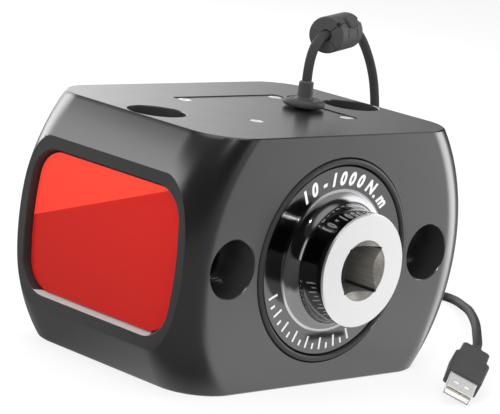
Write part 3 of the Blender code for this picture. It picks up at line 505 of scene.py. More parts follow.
def loft(loops, place=None):
    """Joins loops of equal length and closes both ends."""
    bm = bmesh.new()
    rings = [[bm.verts.new(p) for p in loop] for loop in loops]
    for low, high in zip(rings, rings[1:]):
        band(bm, low, high)
    bm.faces.new(list(reversed(rings[0])))
    bm.faces.new(rings[-1])
    return mesh_object(bm, place)


def prism(outline, low, high, place=None):
    return loft([lifted(outline, low), lifted(outline, high)], place)


def bar(size, centre, place=None):
    return prism(rectangle(*size[:2], centre[:2]), centre[2] - size[2] / 2, centre[2] + size[2] / 2, place)


def pin(radius, low, high, segments, place=None, centre=(0, 0)):
    return prism(circle(radius, segments, centre), low, high, place)


def turned(profile, segments, place=None):
    """Revolves a closed profile of (radius, height) about Z; radius 0 gives a pole."""
    bm = bmesh.new()
    rings = []
    for radius, height in profile:
        if radius < 1e-9:
            rings.append([bm.verts.new((0, 0, height))] * segments)
        else:
            rings.append([bm.verts.new(p) for p in lifted(circle(radius, segments), height)])
    for low, high in zip(rings, rings[1:] + rings[:1]):
        band(bm, low, high)
    return mesh_object(bm, place)


def combine(target, others, operation):
    """Runs an exact boolean with each of the others, which are then removed."""
    for other in others:
        baked(target, "BOOLEAN", operation=operation, solver="EXACT", object=other)
        bpy.data.objects.remove(other)
    return target


def cut(target, *cutters):
    return combine(target, cutters, "DIFFERENCE")


def soften(obj, width, segments=2, angle=50):
    """Rounds the edges that are sharper than the angle."""
    return baked(obj, "BEVEL", width=width, segments=segments, limit_method="ANGLE",
                 angle_limit=radians(angle))


def smooth(obj, angle=28):
    """Smooth shading that keeps flat faces flat and edges crisp."""
    obj.data.shade_smooth()
    obj.data.set_sharp_from_angle(angle=radians(angle))
    return baked(obj, "WEIGHTED_NORMAL", keep_sharp=True)


def hole(radius, depth, place, centre=(0, 0), segments=96, chamfer=MOUTH_CHAMFER):
    """A blind hole's cutter with a chamfered mouth."""
    profile = [(0, -depth), (radius, -depth), (radius, -chamfer), (radius + chamfer + OVER, OVER), (0, OVER)]
    return turned(profile, segments, place @ place_at((*centre, 0)))


def socket_screw(profile, segments, socket):
    """A turned screw with a six sided socket, given as (radius, height)."""
    cutter = loft([lifted(circle(radius, 6), height) for radius, height in socket])
    return smooth(cut(turned(profile, segments), cutter), 25)


def dress(obj, name, finish, slot, *nodes, body="analyser"):
    """Gives a piece its name, its finish and its place in the frame."""
    obj.name = obj.data.name = name
    obj.data.materials.clear()
    obj.data.materials.append(finish.material)
    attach(obj, body)
    if nodes:
        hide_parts(*nodes)
    return obj


def numbered(start, count):
    return [f"{start}_{i + 1}" for i in range(count)]


# Finishes


def block_finish():
    """Satin black anodising, milled along X; its black is painted lighter in the bores as painted light, and
    light grey is painted on the ledge's upward faces under the badge as painted light from above.
    """
    finish = Finish("black_anodised", (0.009, 0.009, 0.0095), 0.3, IOR=2.0)
    blend, ease, noise = finish.blend, finish.ease, finish.noise
    x, y, z = finish.parts(finish.where())
    aside = x.do("ABSOLUTE") - MOUNT_X
    reach = MOUNT_RADIUS + 0.1 * MM
    front_bore = (finish.distance(aside, z - AXIS_Z) < reach) * (y < BLOCK_DEPTH / 2 - 1 * MM)
    top_bore = (finish.distance(aside, y) < reach) * (z > 1 * MM)
    # Painted light: the anodising inside the mounting bores is made lighter to stand in for light inside them
    painted_light_bores = x.maths("MAXIMUM", front_bore, top_bore)
    upward = finish.parts(finish.node("ShaderNodeNewGeometry", output="Normal"))[2]
    along, up = y.do("ABSOLUTE"), (z - AXIS_Z).do("ABSOLUTE")
    bowed = BADGE_HALF_Y + 0.2 * MM - up * up * (BADGE_SIDE_BOW / BADGE_HALF_Z ** 2)
    corner_reach = BADGE_HALF_Y + BADGE_HALF_Z - BADGE_CORNER * (2 - sqrt(2)) + 0.4 * MM
    pocket = ((x > FACET_X + 0.05 * MM) * (x < FACET_X + 5 * MM) * (along < bowed)
              * (up < BADGE_HALF_Z + 0.5 * MM) * (along + up < corner_reach))
    # Painted light from above: only the upward faces of the ledge under the badge
    painted_lit_ledge = pocket * (z < AXIS_Z - BADGE_HALF_Z + 1 * MM) * ease(upward, 0.4, 0.9)
    milled = noise(2600, 2, (0.03, 1, 1))
    cloud = noise(60, 4)
    grain = noise(9000, 2)
    outer = blend(cloud, (0.004, 0.004, 0.0043), (0.007, 0.007, 0.0073))
    # Painted light: a lighter black for the inside of the bores
    inner = blend(cloud, (0.022, 0.022, 0.023), (0.032, 0.032, 0.033))
    # Painted light: light grey for the ledge's upward faces
    painted_ledge_light = blend(cloud, (0.42, 0.42, 0.41), (0.52, 0.52, 0.50))
    finish.set(Base_Color=blend(painted_lit_ledge, blend(painted_light_bores, outer, inner), painted_ledge_light),
               Roughness=0.20 + cloud * 0.05 + milled * 0.05 + pocket * 0.4)
    finish.bump(milled * 0.7 + grain * 0.3, 0.004 * MM)
    return finish


def badge_finish():
    """Two reds with a slanting border, under a clear gloss."""
    finish = Finish("badge_red", (0.7, 0.02, 0.02), 0.16, IOR=1.4)
    x, y, z = finish.parts(finish.where())
    height, half_border = z - y * BORDER_SLOPE, 0.1 * MM
    upper = finish.ease(height, BORDER_HEIGHT - half_border, BORDER_HEIGHT + half_border)
    fade = finish.ease(z, 20 * MM, 90 * MM)
    low = finish.blend(fade, (0.37, 0.007, 0.004), (0.44, 0.010, 0.006))
    high = finish.blend(fade, (0.76, 0.028, 0.015), (0.86, 0.046, 0.025))
    ripple = finish.noise(90, 2)
    finish.set(Base_Color=finish.blend(upper, low, high), Roughness=0.13 + ripple * 0.05)
    finish.bump(ripple, 0.01 * MM)
    return finish


def drive_finish():
    """Dark polished dial and boss with a painted highlight ring round the foot of the boss's fillet, a satin
    turned end face and a broached square.
    """
    finish = Finish("polished_drive", (0.3, 0.3, 0.31), 0.08, 1.0)
    blend, ease, noise = finish.blend, finish.ease, finish.noise
    x, y, z = finish.parts(finish.where())
    radius = finish.distance(x, z - AXIS_Z)
    front = -BLOCK_DEPTH / 2
    face = front - BOSS_REACH + TURNED_CHAMFER
    foot = BOSS_RADIUS + BOSS_FILLET
    end = ease(y, face + 0.1 * MM, face)
    bore = ease(radius, MOUTH_RADIUS + 0.05 * MM, MOUTH_RADIUS - 0.05 * MM)
    behind = ease(y, front + 0.5 * MM, front + 1 * MM)
    flange = ease(radius, foot - 0.1 * MM, foot + 0.1 * MM)
    # Painted highlight: a bright ring round the outer foot of the boss's fillet
    root = ease(radius, foot - 1.3 * MM, foot - 0.9 * MM)
    rings = noise(1500, 2, vector=finish.vector(radius, 0.0, 0.0))
    speckle = noise(1800, 4)
    broached = noise(1400, 3, (1, 0.08, 1))
    boss_and_painted_ring = blend(root, blend(rings, (0.20, 0.20, 0.205), (0.25, 0.25, 0.255)),
                        blend(rings, (0.52, 0.52, 0.525), (0.60, 0.60, 0.605)))
    colour = blend(flange, boss_and_painted_ring, blend(rings, (0.14, 0.14, 0.142), (0.17, 0.17, 0.172)))
    colour = blend(end, colour, blend(rings, 0.76, 0.86))
    colour = blend(bore, colour, blend(broached, (0.22, 0.205, 0.185), (0.50, 0.475, 0.44)))
    colour = blend(behind, colour, blend(speckle, 0.42, 0.52))
    finish.set(Base_Color=colour, Roughness=0.07 + end * 0.33 + bore * 0.3 + behind * 0.25 + rings * 0.04,
               Metallic=1 - bore * 0.3)
    finish.bump(rings * end + broached * bore, 0.012 * MM)
    return finish


def speckled_finish(name, dark, light, roughness, spread, bump, noise, metallic=0.0, gloss=1.5):
    """One noise for the colour, for the roughness's spread and for the relief."""
    finish = Finish(name, light, roughness + spread / 2, metallic, IOR=gloss)
    speckle = finish.noise(*noise)
    finish.set(Base_Color=finish.blend(speckle, dark, light), Roughness=roughness + speckle * spread)
    finish.bump(speckle, bump * MM)
    return finish


def moulded_finish(name, colour, roughness, grain=0.012, gloss=1.36):
    """Moulded plastic or rubber with a fine spark-eroded grain."""
    light = tuple(c * 1.35 for c in colour)
    finish = Finish(name, colour, roughness, IOR=gloss)
    spark = finish.noise(2600, 3)
    finish.set(Base_Color=finish.blend(finish.noise(140, 2), colour, light),
               Roughness=roughness - 0.05 + spark * 0.1)
    finish.bump(spark, grain * MM)
    return finish


def metal_finish(name, colour, roughness, metallic=1.0):
    """Machined or plated metal with fine scratches."""
    dark = tuple(c * 0.82 for c in colour)
    return speckled_finish(name, dark, colour, roughness - 0.04, 0.1, 0.003, (1600, 3, (1, 0.2, 1)), metallic)


def striped_finish(name, dark, light, axis, spacing, share, metallic=0.0, bump=0.0):
    """Fine lines across an axis, such as a grid of foil or tracks under solder mask."""
    finish = Finish(name, dark, 0.35)
    lines = ((finish.parts(finish.where())[axis] / (spacing * MM)) % 1.0) < share
    finish.set(Base_Color=finish.blend(lines, dark, light), Metallic=lines * metallic)
    finish.bump(lines, bump * MM)
    return finish


# Housing


def block_form(finish):
    """Rounded rectangles up an arc."""
    rings, corner_points = 112, 41
    around = 4 * corner_points
    form = Pattern("block_form")
    height, depth, width, bulge, corner, chamfer = form.sizes(
        Height=BLOCK_HEIGHT, Depth=BLOCK_DEPTH, End_width=END_WIDTH,
        Bulge=BLOCK_HIGH.x - END_WIDTH / 2, Corner_radius=CORNER_RADIUS, Edge_chamfer=EDGE_CHAMFER)
    drum = form.node("GeometryNodeMeshCylinder",
                     {"Vertices": around, "Side Segments": rings, "Radius": 1.0, "Depth": 1.0},
                     {"fill_type": "NGON"})
    x, y, z = form.parts(form.node("GeometryNodeInputPosition"))
    angle = y.maths("ARCTAN2", y, x)
    step = (angle * (around / tau) + (around + 0.5)).do("FLOOR") % around
    quarter = (step / corner_points).do("FLOOR")
    turn = (quarter + (step - quarter * corner_points) / (corner_points - 1)) * (pi / 2)
    middle = quarter * (pi / 2) + pi / 4
    ring = ((z + 0.5) * rings + 0.5).do("FLOOR")
    first, last = ring < 0.5, ring > rings - 0.5
    share = form.node("ShaderNodeClamp", {"Value": (ring - 1) / (rings - 2)})
    level = share * (height - chamfer * 2) + chamfer - first * chamfer + last * chamfer
    half = height / 2
    arc_radius = (half * half + bulge * bulge) / (bulge * 2)
    rise = (arc_radius * arc_radius - (level - half) * (level - half)).do("SQRT") - arc_radius
    reach_x = width / 2 + bulge + rise - corner
    reach_y = depth / 2 - corner
    radius = corner - (first + last) * chamfer
    place = form.vector(middle.do("COSINE").do("SIGN") * reach_x + radius * turn.do("COSINE"),
                        middle.do("SINE").do("SIGN") * reach_y + radius * turn.do("SINE"), level)
    return form.make(form.node("GeometryNodeSetPosition", {"Geometry": drum, "Position": place}), finish)


def badge_loops(grow, levels):
    """The badge's outline at several (extra growth, height) levels."""
    loops = []
    for extra, height in levels:
        more = grow + extra
        outline = bowed_outline(BADGE_HALF_Y + more, BADGE_HALF_Z + more, BADGE_SIDE_BOW,
                                BADGE_CORNER + more)
        loops.append([(y, x, height) for x, y in outline])
    return loops


def cover_loops(*levels):
    """The cover's outline at several (growth, height) levels."""
    return [lifted(rounded_rectangle(COVER_WIDTH / 2 + grow, COVER_DEPTH / 2 + grow, COVER_CORNER + grow),
                   height) for grow, height in levels]


def screw_places():
    return rectangle(COVER_WIDTH - 2 * SCREW_INSET, COVER_DEPTH - 2 * SCREW_INSET)


def housing(finish):
    block = block_form(finish)
    floor = -BADGE_RECESS - BADGE_THICKNESS - GAP
    badge_pocket = [(-BADGE_DRAFT, floor), (0, -MOUTH_CHAMFER), (MOUTH_CHAMFER + OVER, OVER)]
    recess = cover_loops((GAP, -LEDGE_DEPTH), (GAP, -COVER_EDGE), (GAP + COVER_EDGE + OVER, OVER))
    pocket = notched_rectangle(COVER_WIDTH - 2 * LEDGE, COVER_DEPTH - 2 * LEDGE, screw_places()[2],
                               POST_RADIUS)
    cutters = [prism(rectangle(2 * BLOCK_DEPTH, 2 * BLOCK_DEPTH), 0, BLOCK_DEPTH, LEFT),
               loft(badge_loops(0, badge_pocket), LEFT),
               hole(BORE_RADIUS, BORE_DEPTH, FRONT, segments=192),
               pin(CAVITY_RADIUS, -(BLOCK_DEPTH - REAR_WALL), 0, 128, FRONT),
               loft(recess, COVER_TOP), prism(pocket, -POCKET_DEPTH, 0, COVER_TOP)]
    for side in (-1, 1):
        for place, length in ((FRONT, BLOCK_DEPTH), (TOP, BLOCK_HEIGHT)):
            centre = (side * MOUNT_X, 0)
            cutters += [pin(MOUNT_HOLE_RADIUS, -length - OVER, 0, 64, place, centre),
                        hole(MOUNT_RADIUS, MOUNT_DEPTH, place, centre)]
    for i in range(BOLT_COUNT):
        angle = (i + 0.5) * tau / BOLT_COUNT
        centre = (BOLT_CIRCLE * cos(angle), BOLT_CIRCLE * sin(angle))
        cutters += [pin(BOLT_RADIUS + BOLT_PLAY, -REAR_WALL - OVER, 0, 32, BACK, centre),
                    hole(BOLT_HEAD + BOLT_PLAY, BOLT_HEAD_HEIGHT + 2 * GAP, BACK, centre, 48, 0.2 * MM)]
    dress(smooth(cut(block, *cutters)), "housing", finish, "block_black", "housing_block")
    for name, centre in zip(numbered("board_stand", 4), rectangle(*BOARD_SCREW_SPACING)):
        low, high = -POCKET_DEPTH - GAP, STAND_HEIGHT - POCKET_DEPTH
        stand = pin(STAND_RADIUS, low, high, 32, COVER_TOP, centre)
        cut(stand, pin(STAND_BORE, -POCKET_DEPTH, 0, 24, COVER_TOP, centre))
        dress(smooth(stand), name, finish, "block_black")


def badge(finish):
    rim = arc((-BADGE_EDGE, -BADGE_RECESS - BADGE_EDGE), BADGE_EDGE, 0, 90, 4)
    levels = [(0, -BADGE_RECESS - BADGE_THICKNESS), *rim]
    panel = loft(badge_loops(-BADGE_DRAFT - GAP, levels), LEFT)
    dress(smooth(panel), "badge", finish, "badge_red", "badge_panel")


# Transducer


def transducer(finish):
    edge = TURNED_CHAMFER
    neck_front, root_front = -DIAL_THICKNESS, ROOT_REAR + ROOT_THICKNESS
    neck_foot = NECK_RADIUS + NECK_FILLET
    root_fillet = arc((neck_foot, root_front + NECK_FILLET), NECK_FILLET, 270, 180, 8)
    dial_fillet = arc((neck_foot, neck_front - NECK_FILLET), NECK_FILLET, 180, 90, 8)
    boss_fillet = arc((BOSS_RADIUS + BOSS_FILLET, BOSS_FILLET), BOSS_FILLET, 270, 180, 16)
    body = turned([(0, ROOT_REAR), (ROOT_RADIUS - edge, ROOT_REAR), (ROOT_RADIUS, ROOT_REAR + edge),
                   (ROOT_RADIUS, root_front), *root_fillet, *dial_fillet,
                   (DIAL_RADIUS, neck_front), (DIAL_RADIUS, -edge), (DIAL_RADIUS - edge, 0), *boss_fillet,
                   (BOSS_RADIUS, BOSS_REACH - edge), (BOSS_RADIUS - edge, BOSS_REACH), (0, BOSS_REACH)],
                  192, FRONT)
    floor = BOSS_REACH - DRIVE_DEPTH
    sink = MOUTH_RADIUS - SQUARE / 2
    square = rounded_rectangle(SQUARE / 2, SQUARE / 2, 0.4 * MM, 4)
    mouth = [(0, BOSS_REACH - sink), (MOUTH_RADIUS - sink, BOSS_REACH - sink),
             (MOUTH_RADIUS + OVER, BOSS_REACH + OVER), (0, BOSS_REACH + OVER)]
    cut(body, prism(square, floor, BOSS_REACH + OVER, FRONT),
        pin(SQUARE / 2 + GAP, floor - 3 * MM, floor + 2 * MM, 64, FRONT), turned(mouth, 96, FRONT))
    dress(smooth(body), "transducer", finish, "drive_steel", "torque_transducer")


def seal(finish):
    inner, outer = DIAL_RADIUS + GAP, BORE_RADIUS - GAP
    middle, half = (inner + outer) / 2, (outer - inner) / 2
    dome = [(middle + half * x, SEAL_CROWN * y) for x, y in arc((0, 0), 1, 0, 180, 12)]
    ring = turned([(inner, -SEAL_DEPTH), (outer, -SEAL_DEPTH), *dome], 192, FRONT)
    dress(smooth(ring, 40), "seal_ring", finish, "seal_rubber", "dial_seal")


def glyph(character):
    """One character as a thin solid, a unit deep, leaning forward and bold."""
    curve = bpy.data.curves.new("glyph", "FONT")
    obj = new_object("glyph", given(curve, body=character, align_x="CENTER", shear=PRINT_LEAN,
                                    offset=PRINT_BOLDNESS, extrude=0.5))
    mesh = evaluated_mesh(obj)
    bpy.data.objects.remove(obj)
    return mesh


def dial_print(finish):
    """The range of the tester round the upper dial, and plain marks round its lower part."""
    scale = PRINT_HEIGHT / max(v.co.y for v in glyph("1").vertices)
    on_dial = (place_at((0, PRINT_RADIUS, 0))
               @ Matrix.Diagonal((PRINT_NARROWING * scale, scale, PRINT_DEPTH, 1))
               @ place_at((0, 0, 0.5)))
    bm = bmesh.new()
    for character, angle in PRINT:
        mesh = glyph(character)
        mesh.transform(FRONT @ rotation(angle - 90, "Z") @ on_dial)
        bm.from_mesh(mesh)
    bmesh.ops.remove_doubles(bm, verts=bm.verts, dist=0.001 * MM)
    dress(mesh_object(bm), "dial_figures", finish, "insert_white")

    marks = Pattern("dial_marks")
    node, vector = marks.node, marks.vector
    count, length, width, middle, first, step = marks.sizes(
        Count=TICK_COUNT, Length=TICK_LENGTH, Width=TICK_WIDTH, Middle_radius=TICK_RADIUS,
        First_angle=radians(TICK_FIRST), Step=radians((TICK_LAST - TICK_FIRST) / (TICK_COUNT - 1)))
    number = node("GeometryNodeInputIndex")
    angle = first + number * step
    short = (number % 2) > 0.5
    reach = middle + short * length * 0.25
    points = node("GeometryNodeSetPosition", {
        "Geometry": node("GeometryNodeMeshLine", {"Count": count}),
        "Position": vector(reach * angle.do("COSINE"), reach * angle.do("SINE"), 0.0)})
    block = node("GeometryNodeMeshCube", {"Size": vector(length, width, 2 * PRINT_DEPTH)})
    copies = marks.copies(points, block, vector(0.0, 0.0, angle), vector(1 - short * 0.5, 1.0, 1.0))
    dress(marks.make(copies, finish, FRONT), "dial_marks", finish, "insert_white")


def rear_bolts(finish):
    """Socket head screws on their circle."""
    top = -GAP
    under_head = top - BOLT_HEAD_HEIGHT
    e = 0.6 * MM
    across = BOLT_SOCKET / cos(pi / 6)
    bolt = socket_screw(
        [(0, BOLT_TIP), (BOLT_RADIUS - e, BOLT_TIP), (BOLT_RADIUS, BOLT_TIP + e), (BOLT_RADIUS, under_head),
         (BOLT_HEAD, under_head), (BOLT_HEAD, top - e), (BOLT_HEAD - e, top), (0, top)],
        48, [(across, top - BOLT_RADIUS), (across, top - 0.3 * MM), (across + 0.4 * MM, top + 0.1 * MM)])
    ring = Pattern("bolt_ring")
    count, radius, first = ring.sizes(Count=BOLT_COUNT, Bolt_circle=BOLT_CIRCLE,
                                      First_angle=pi / BOLT_COUNT)
    points = ring.node("GeometryNodeMeshCircle", {"Vertices": count, "Radius": radius})
    swung = ring.node("GeometryNodeTransform", {"Geometry": points, "Rotation": ring.vector(0.0, 0.0, first)})
    bolts = ring.make(ring.copies(swung, bolt), finish, BACK)
    bpy.data.objects.remove(bolt)
    dress(bolts, "rear_bolts", finish, "bolt_black", *numbered("transducer_bolt", BOLT_COUNT))


# Cover, screws and gland


def cover(finish):
    low = COVER_LOW.z - BLOCK_HEIGHT + COVER_SINK
    plate = loft(cover_loops((0, low), (0, -COVER_EDGE), (-COVER_EDGE, 0)), SUNK_TOP)
    cutters = [pin(GLAND_NECK_RADIUS + GAP, low - OVER, OVER, 48, TOP, (GLAND_X, 0))]
    head, shank = SCREW_HEAD + GAP, SCREW_SHANK + GAP
    profile = [(0, low - OVER), (shank, low - OVER), (shank, shank - head), (head + OVER, OVER), (0, OVER)]
    for x, y in screw_places():
        cutters.append(turned(profile, 48, SUNK_TOP @ place_at((x, y, 0))))
    dress(smooth(cut(plate, *cutters)), "cover", finish, "block_black", "cover_plate")


def cover_screws(finish):
    """Countersunk screws at the cover's corners."""
    head, shank, low = SCREW_HEAD, SCREW_SHANK, -SCREW_LENGTH
    e = 0.12 * MM
    across = SCREW_SOCKET
    screw = socket_screw(
        [(0, low), (shank, low), (shank, shank - head - SCREW_RIM), (head, -SCREW_RIM), (head, -e),
         (head - e, 0), (0, 0)],
        40, [(across, -1.4 * MM), (across, -0.15 * MM), (across + 0.25 * MM, 0.1 * MM)])
    corners = Pattern("screw_corners")
    width, depth, twist = corners.sizes(Spacing_across=COVER_WIDTH - 2 * SCREW_INSET,
                                        Spacing_along=COVER_DEPTH - 2 * SCREW_INSET,
                                        Twist=SCREW_TWIST)
    grid = corners.node("GeometryNodeMeshGrid", {"Size X": width, "Size Y": depth, "Vertices X": 2,
                                                 "Vertices Y": 2})
    angle = corners.node("GeometryNodeInputIndex") * twist
    screws = corners.make(corners.copies(grid, screw, corners.vector(0.0, 0.0, angle)), finish, SUNK_TOP)
    bpy.data.objects.remove(screw)
    dress(screws, "cover_screws", finish, "screw_steel", *numbered("cover_screw", 4))


def gland(finish):
    """A moulded grommet with a beaded flange and a stem."""
    base = BLOCK_HEIGHT + GAP
    top = GLAND_HIGH.z
    flange_top = base + FLANGE_HEIGHT
    bead = FLANGE_HEIGHT / 2
    bead_radius = GLAND_HIGH.x - GLAND_X - bead
    fillet, lip = STEM_FILLET, 0.5 * MM
    profile = [(0, GLAND_LOW.z), (GLAND_NECK_RADIUS, GLAND_LOW.z), (GLAND_NECK_RADIUS, base),
               *arc((bead_radius, base + bead), bead, -90, 90, 16),
               *arc((bead_radius - 0.5 * MM, flange_top), 0.4 * MM, 0, -180, 6),
               *arc((STEM_RADIUS + fillet, flange_top + fillet), fillet, 270, 180, 6),
               *arc((STEM_RADIUS - 0.15 * MM - lip, top - lip), lip, 0, 90, 5), (0, top)]
    stem = turned(profile, 96, place_at((GLAND_X, 0, 0)))
    dress(smooth(stem, 35), "gland", finish, "case_black", "cable_gland")


# Lead, ferrite and plug


def lead_route():
    """Centre line from the gland, through the ferrite, beside the block and over a low hump."""
    half = CASE_LENGTH / 2
    start = Vector((GLAND_X, 0, GLAND_HIGH.z + GAP))
    rise = [(0, 0, 0), (0, 0, 5), (1.1, 0.5, 10), (4.1, 1.8, 14.6), (9.0, 3.8, 17.6)]
    beyond = [(73.5, 19.5, 134.6), (81.8, 23.1, 131.6), (89.6, 26.4, 126.6), (97.9, 29.9, 119.6),
              (105.3, 33.0, 111.5), (110.8, 35.4, 103), (114.9, 37.1, 92.5), (117.5, 38.2, 78),
              (118.8, 38.8, 62), (119.4, 39.0, 46), (119.8, 39.2, 31), (121.9, 40.0, 18.5), (126.9, 42.2, 8.5),
              (135.2, 45.7, 2.5), (149.5, 50.5, 2.1), (161, 49, 2.1), (170.5, 42.5, 2.1), (175.5, 32, 2.1),
              (174.6, 22, 2.4), (163.8, 9.2, 4.4), (145.3, -10.4, 8.5), (123, -31.7, 12.5), (102, -51, 15.5),
              (88.3, -63.1, 16.3)]
    inside = [FERRITE @ Vector((0, 0, z)) for z in (half, 0, -half)]
    return [*[start + Vector(p) * MM for p in rise], *inside, *[Vector(p) * MM for p in beyond],
            PLUG @ Vector((-6 * MM, 0, 0)), PLUG_END]


def smooth_route(points, step):
    """A smooth curve through the points, read at about equal steps, and its length."""
    padded = [2 * points[0] - points[1], *points, 2 * points[-1] - points[-2]]
    fine = []
    for a, b, c, d in zip(padded, padded[1:], padded[2:], padded[3:]):
        for t in np.linspace(0, 1, 12, endpoint=False):
            fine.append(0.5 * (2 * b + (c - a) * t + (2 * a - 5 * b + 4 * c - d) * t ** 2
                               + (3 * b - a - 3 * c + d) * t ** 3))
    fine.append(points[-1])
    travelled = np.concatenate([[0], np.cumsum([(q - p).length for p, q in zip(fine, fine[1:])])])
    marks = np.linspace(0, travelled[-1], round(travelled[-1] / step) + 1)
    route = [Vector([np.interp(m, travelled, [p[i] for p in fine]) for i in range(3)]) for m in marks]
    return route, float(travelled[-1])


def lead(finish):
    points, length = smooth_route(lead_route(), LEAD_POINT_STEP)
    first, last = round(LEAD_EASED_FROM * len(points)), len(points) - 4
    for _ in range(LEAD_EASING):
        runs = zip(points[first - 1:], points[first:], points[first + 1:last])
        eased = [(before + 2 * point + after) / 4 for before, point, after in runs]
        points[first:first + len(eased)] = eased
    curve = given(bpy.data.curves.new("lead", "CURVE"), dimensions="3D", bevel_depth=LEAD_RADIUS,
                  bevel_resolution=6, use_fill_caps=True)
    spline = curve.splines.new("POLY")
    spline.points.add(len(points) - 1)
    for target, point in zip(spline.points, points):
        target.co = (*point, 1)
    spline.use_smooth = True
    obj = dress(new_object("lead", curve), "lead", finish, "lead_black", "usb_lead")
    obj.visible_glossy = False


def case_half(side):
    """Half of the ferrite's case; side 1 opens, -1 stays."""
    half, hole_radius = CASE_LENGTH / 2, LEAD_HOLE_RADIUS
    inner, end = CASE_RADIUS - CASE_WALL, half - CASE_END_WALL
    front = arc((CASE_RADIUS - CASE_EDGE, CASE_EDGE - half), CASE_EDGE, -90, 0, 5)
    rear = [(r, -z) for r, z in reversed(front)]
    case = turned([(hole_radius, -half), *front, *rear, (hole_radius, half), (hole_radius, end),
                   (inner, end), (inner, -end), (hole_radius, -end)], 96, FERRITE)
    reach = 4 * CASE_RADIUS
    cut(case, bar((reach, reach, reach), (0, side * (GAP / 2 - reach / 2), 0), FERRITE))
    lip = bar((HINGE_REACH + CASE_WALL, HINGE_DEPTH, HINGE_LENGTH),
              (-CASE_RADIUS - HINGE_REACH / 2 + CASE_WALL / 2, side * (GAP + HINGE_DEPTH) / 2, 0), FERRITE)
    combine(case, [lip], "UNION")
    return cut(case, *[bar(NOTCH_SIZE, (CASE_RADIUS, 0, z), FERRITE) for z in (-half, half)])


def ferrite(finish):
    """The half that opens carries the latch, the fixed one two slots and a mark."""
    outside = CASE_RADIUS + GAP
    reach, root = 3 * MM, 2.2 * MM
    latch = bar((LATCH_THICKNESS, reach + root, LATCH_LENGTH),
                (outside + LATCH_THICKNESS / 2, (root - reach) / 2, 0), FERRITE)
    arm = bar((1.5 * MM, root - GAP, LATCH_LENGTH), (outside, root / 2 + GAP / 2, 0), FERRITE)
    moving = combine(case_half(1), [latch, arm], "UNION")
    facing = FERRITE @ rotation(SLOT_BEARING, "Z")
    slots = [bar(SLOT_SIZE, (0, -CASE_RADIUS, z), facing) for z in (-SLOT_HEIGHT, SLOT_HEIGHT)]
    mark = bar((0.4 * MM, CASE_RADIUS - LEAD_HOLE_RADIUS, 0.5 * MM),
               (0, -(CASE_RADIUS + LEAD_HOLE_RADIUS) / 2, CASE_LENGTH / 2), FERRITE)
    fixed = cut(case_half(-1), *slots, mark)
    for half, name, node, body in ((moving, "ferrite_lid_case", "ferrite_case_hinged", "ferrite_lid"),
                                   (fixed, "ferrite_base_case", "ferrite_case_fixed", "analyser")):
        soften(half, 0.15 * MM, angle=40)
        dress(smooth(half, 35), name, finish, "case_black", node, body=body)
    return moving, fixed


def plug(body_finish, shell_finish, insulator_finish):
    sideways = rotation(90, "Y")
    rear = PLUG_NECK_LENGTH
    front = rear + PLUG_BODY_LENGTH
    wide, narrow, slope = PLUG_BODY_WIDTH / 2, SHOULDER_WIDTH / 2, PLUG_SLOPE
    step = rear + SHOULDER_LENGTH
    half = [(rear, narrow - slope), (rear + slope, narrow), (step, narrow), (step + slope, wide),
            (front, wide - PLUG_EDGE / 2)]
    outline = half + [(x, -y) for x, y in reversed(half)]
    body = soften(prism(outline, -PLUG_BODY_HEIGHT / 2, PLUG_BODY_HEIGHT / 2, PLUG), PLUG_EDGE, 5)
    r, e = PLUG_NECK_RADIUS, 0.4 * MM
    neck = turned([(0, GAP), (r - e, GAP), (r, GAP + e), (r, rear / 2 - e), (r - e, rear / 2),
                   (r - e, rear + slope), (0, rear + slope)], 48, PLUG @ sideways)
    combine(body, [neck], "UNION")
    seat = (SHELL_SEAT + 2 * GAP, SHELL_WIDTH + 2 * GAP, SHELL_HEIGHT + 2 * GAP)
    cut(body, bar(seat, (front - SHELL_SEAT / 2, 0, 0), PLUG))
    dress(smooth(body, 35), "plug_grip", body_finish, "case_black", "usb_plug_body")

    back = front - SHELL_SEAT
    length = SHELL_REACH + SHELL_SEAT
    forward = PLUG @ place_at((back, 0, 0)) @ sideways
    shell, inside = (rounded_rectangle(SHELL_HEIGHT / 2 - wall, SHELL_WIDTH / 2 - wall, SHELL_CORNER - wall, 6)
                     for wall in (0, SHELL_WALL))
    windows = [bar((SHELL_WINDOW, SHELL_WINDOW, 2 * SHELL_HEIGHT), (front + SHELL_REACH / 2, y, 0), PLUG)
               for y in (-SHELL_WINDOW, SHELL_WINDOW)]
    shell = cut(prism(shell, 0, length, forward), prism(inside, -OVER, length + OVER, forward), *windows)
    dress(smooth(shell, 25), "plug_shell", shell_finish, "shell_steel", "usb_plug_shell")
    size = (INSULATOR_DEPTH, SHELL_WIDTH - 2 * SHELL_WALL - 2 * SHELL_CORNER, INSULATOR_HEIGHT)
    height = SHELL_HEIGHT / 2 - SHELL_WALL - INSULATOR_HEIGHT / 2 - 0.05 * MM
    insulator = soften(bar(size, (back + INSULATOR_DEPTH / 2, 0, height), PLUG), 0.1 * MM)
    dress(smooth(insulator), "plug_insulator", insulator_finish, "insert_white")
    for piece in (body, shell, insulator):
        piece.visible_glossy = False
    return body, shell, insulator


# Studio


def bearing(x, y):
    """The angle in radians to the right of the camera's forward direction."""
    return x.maths("ARCTAN2", x * AHEAD.y - y * AHEAD.x, x * AHEAD.x + y * AHEAD.y)


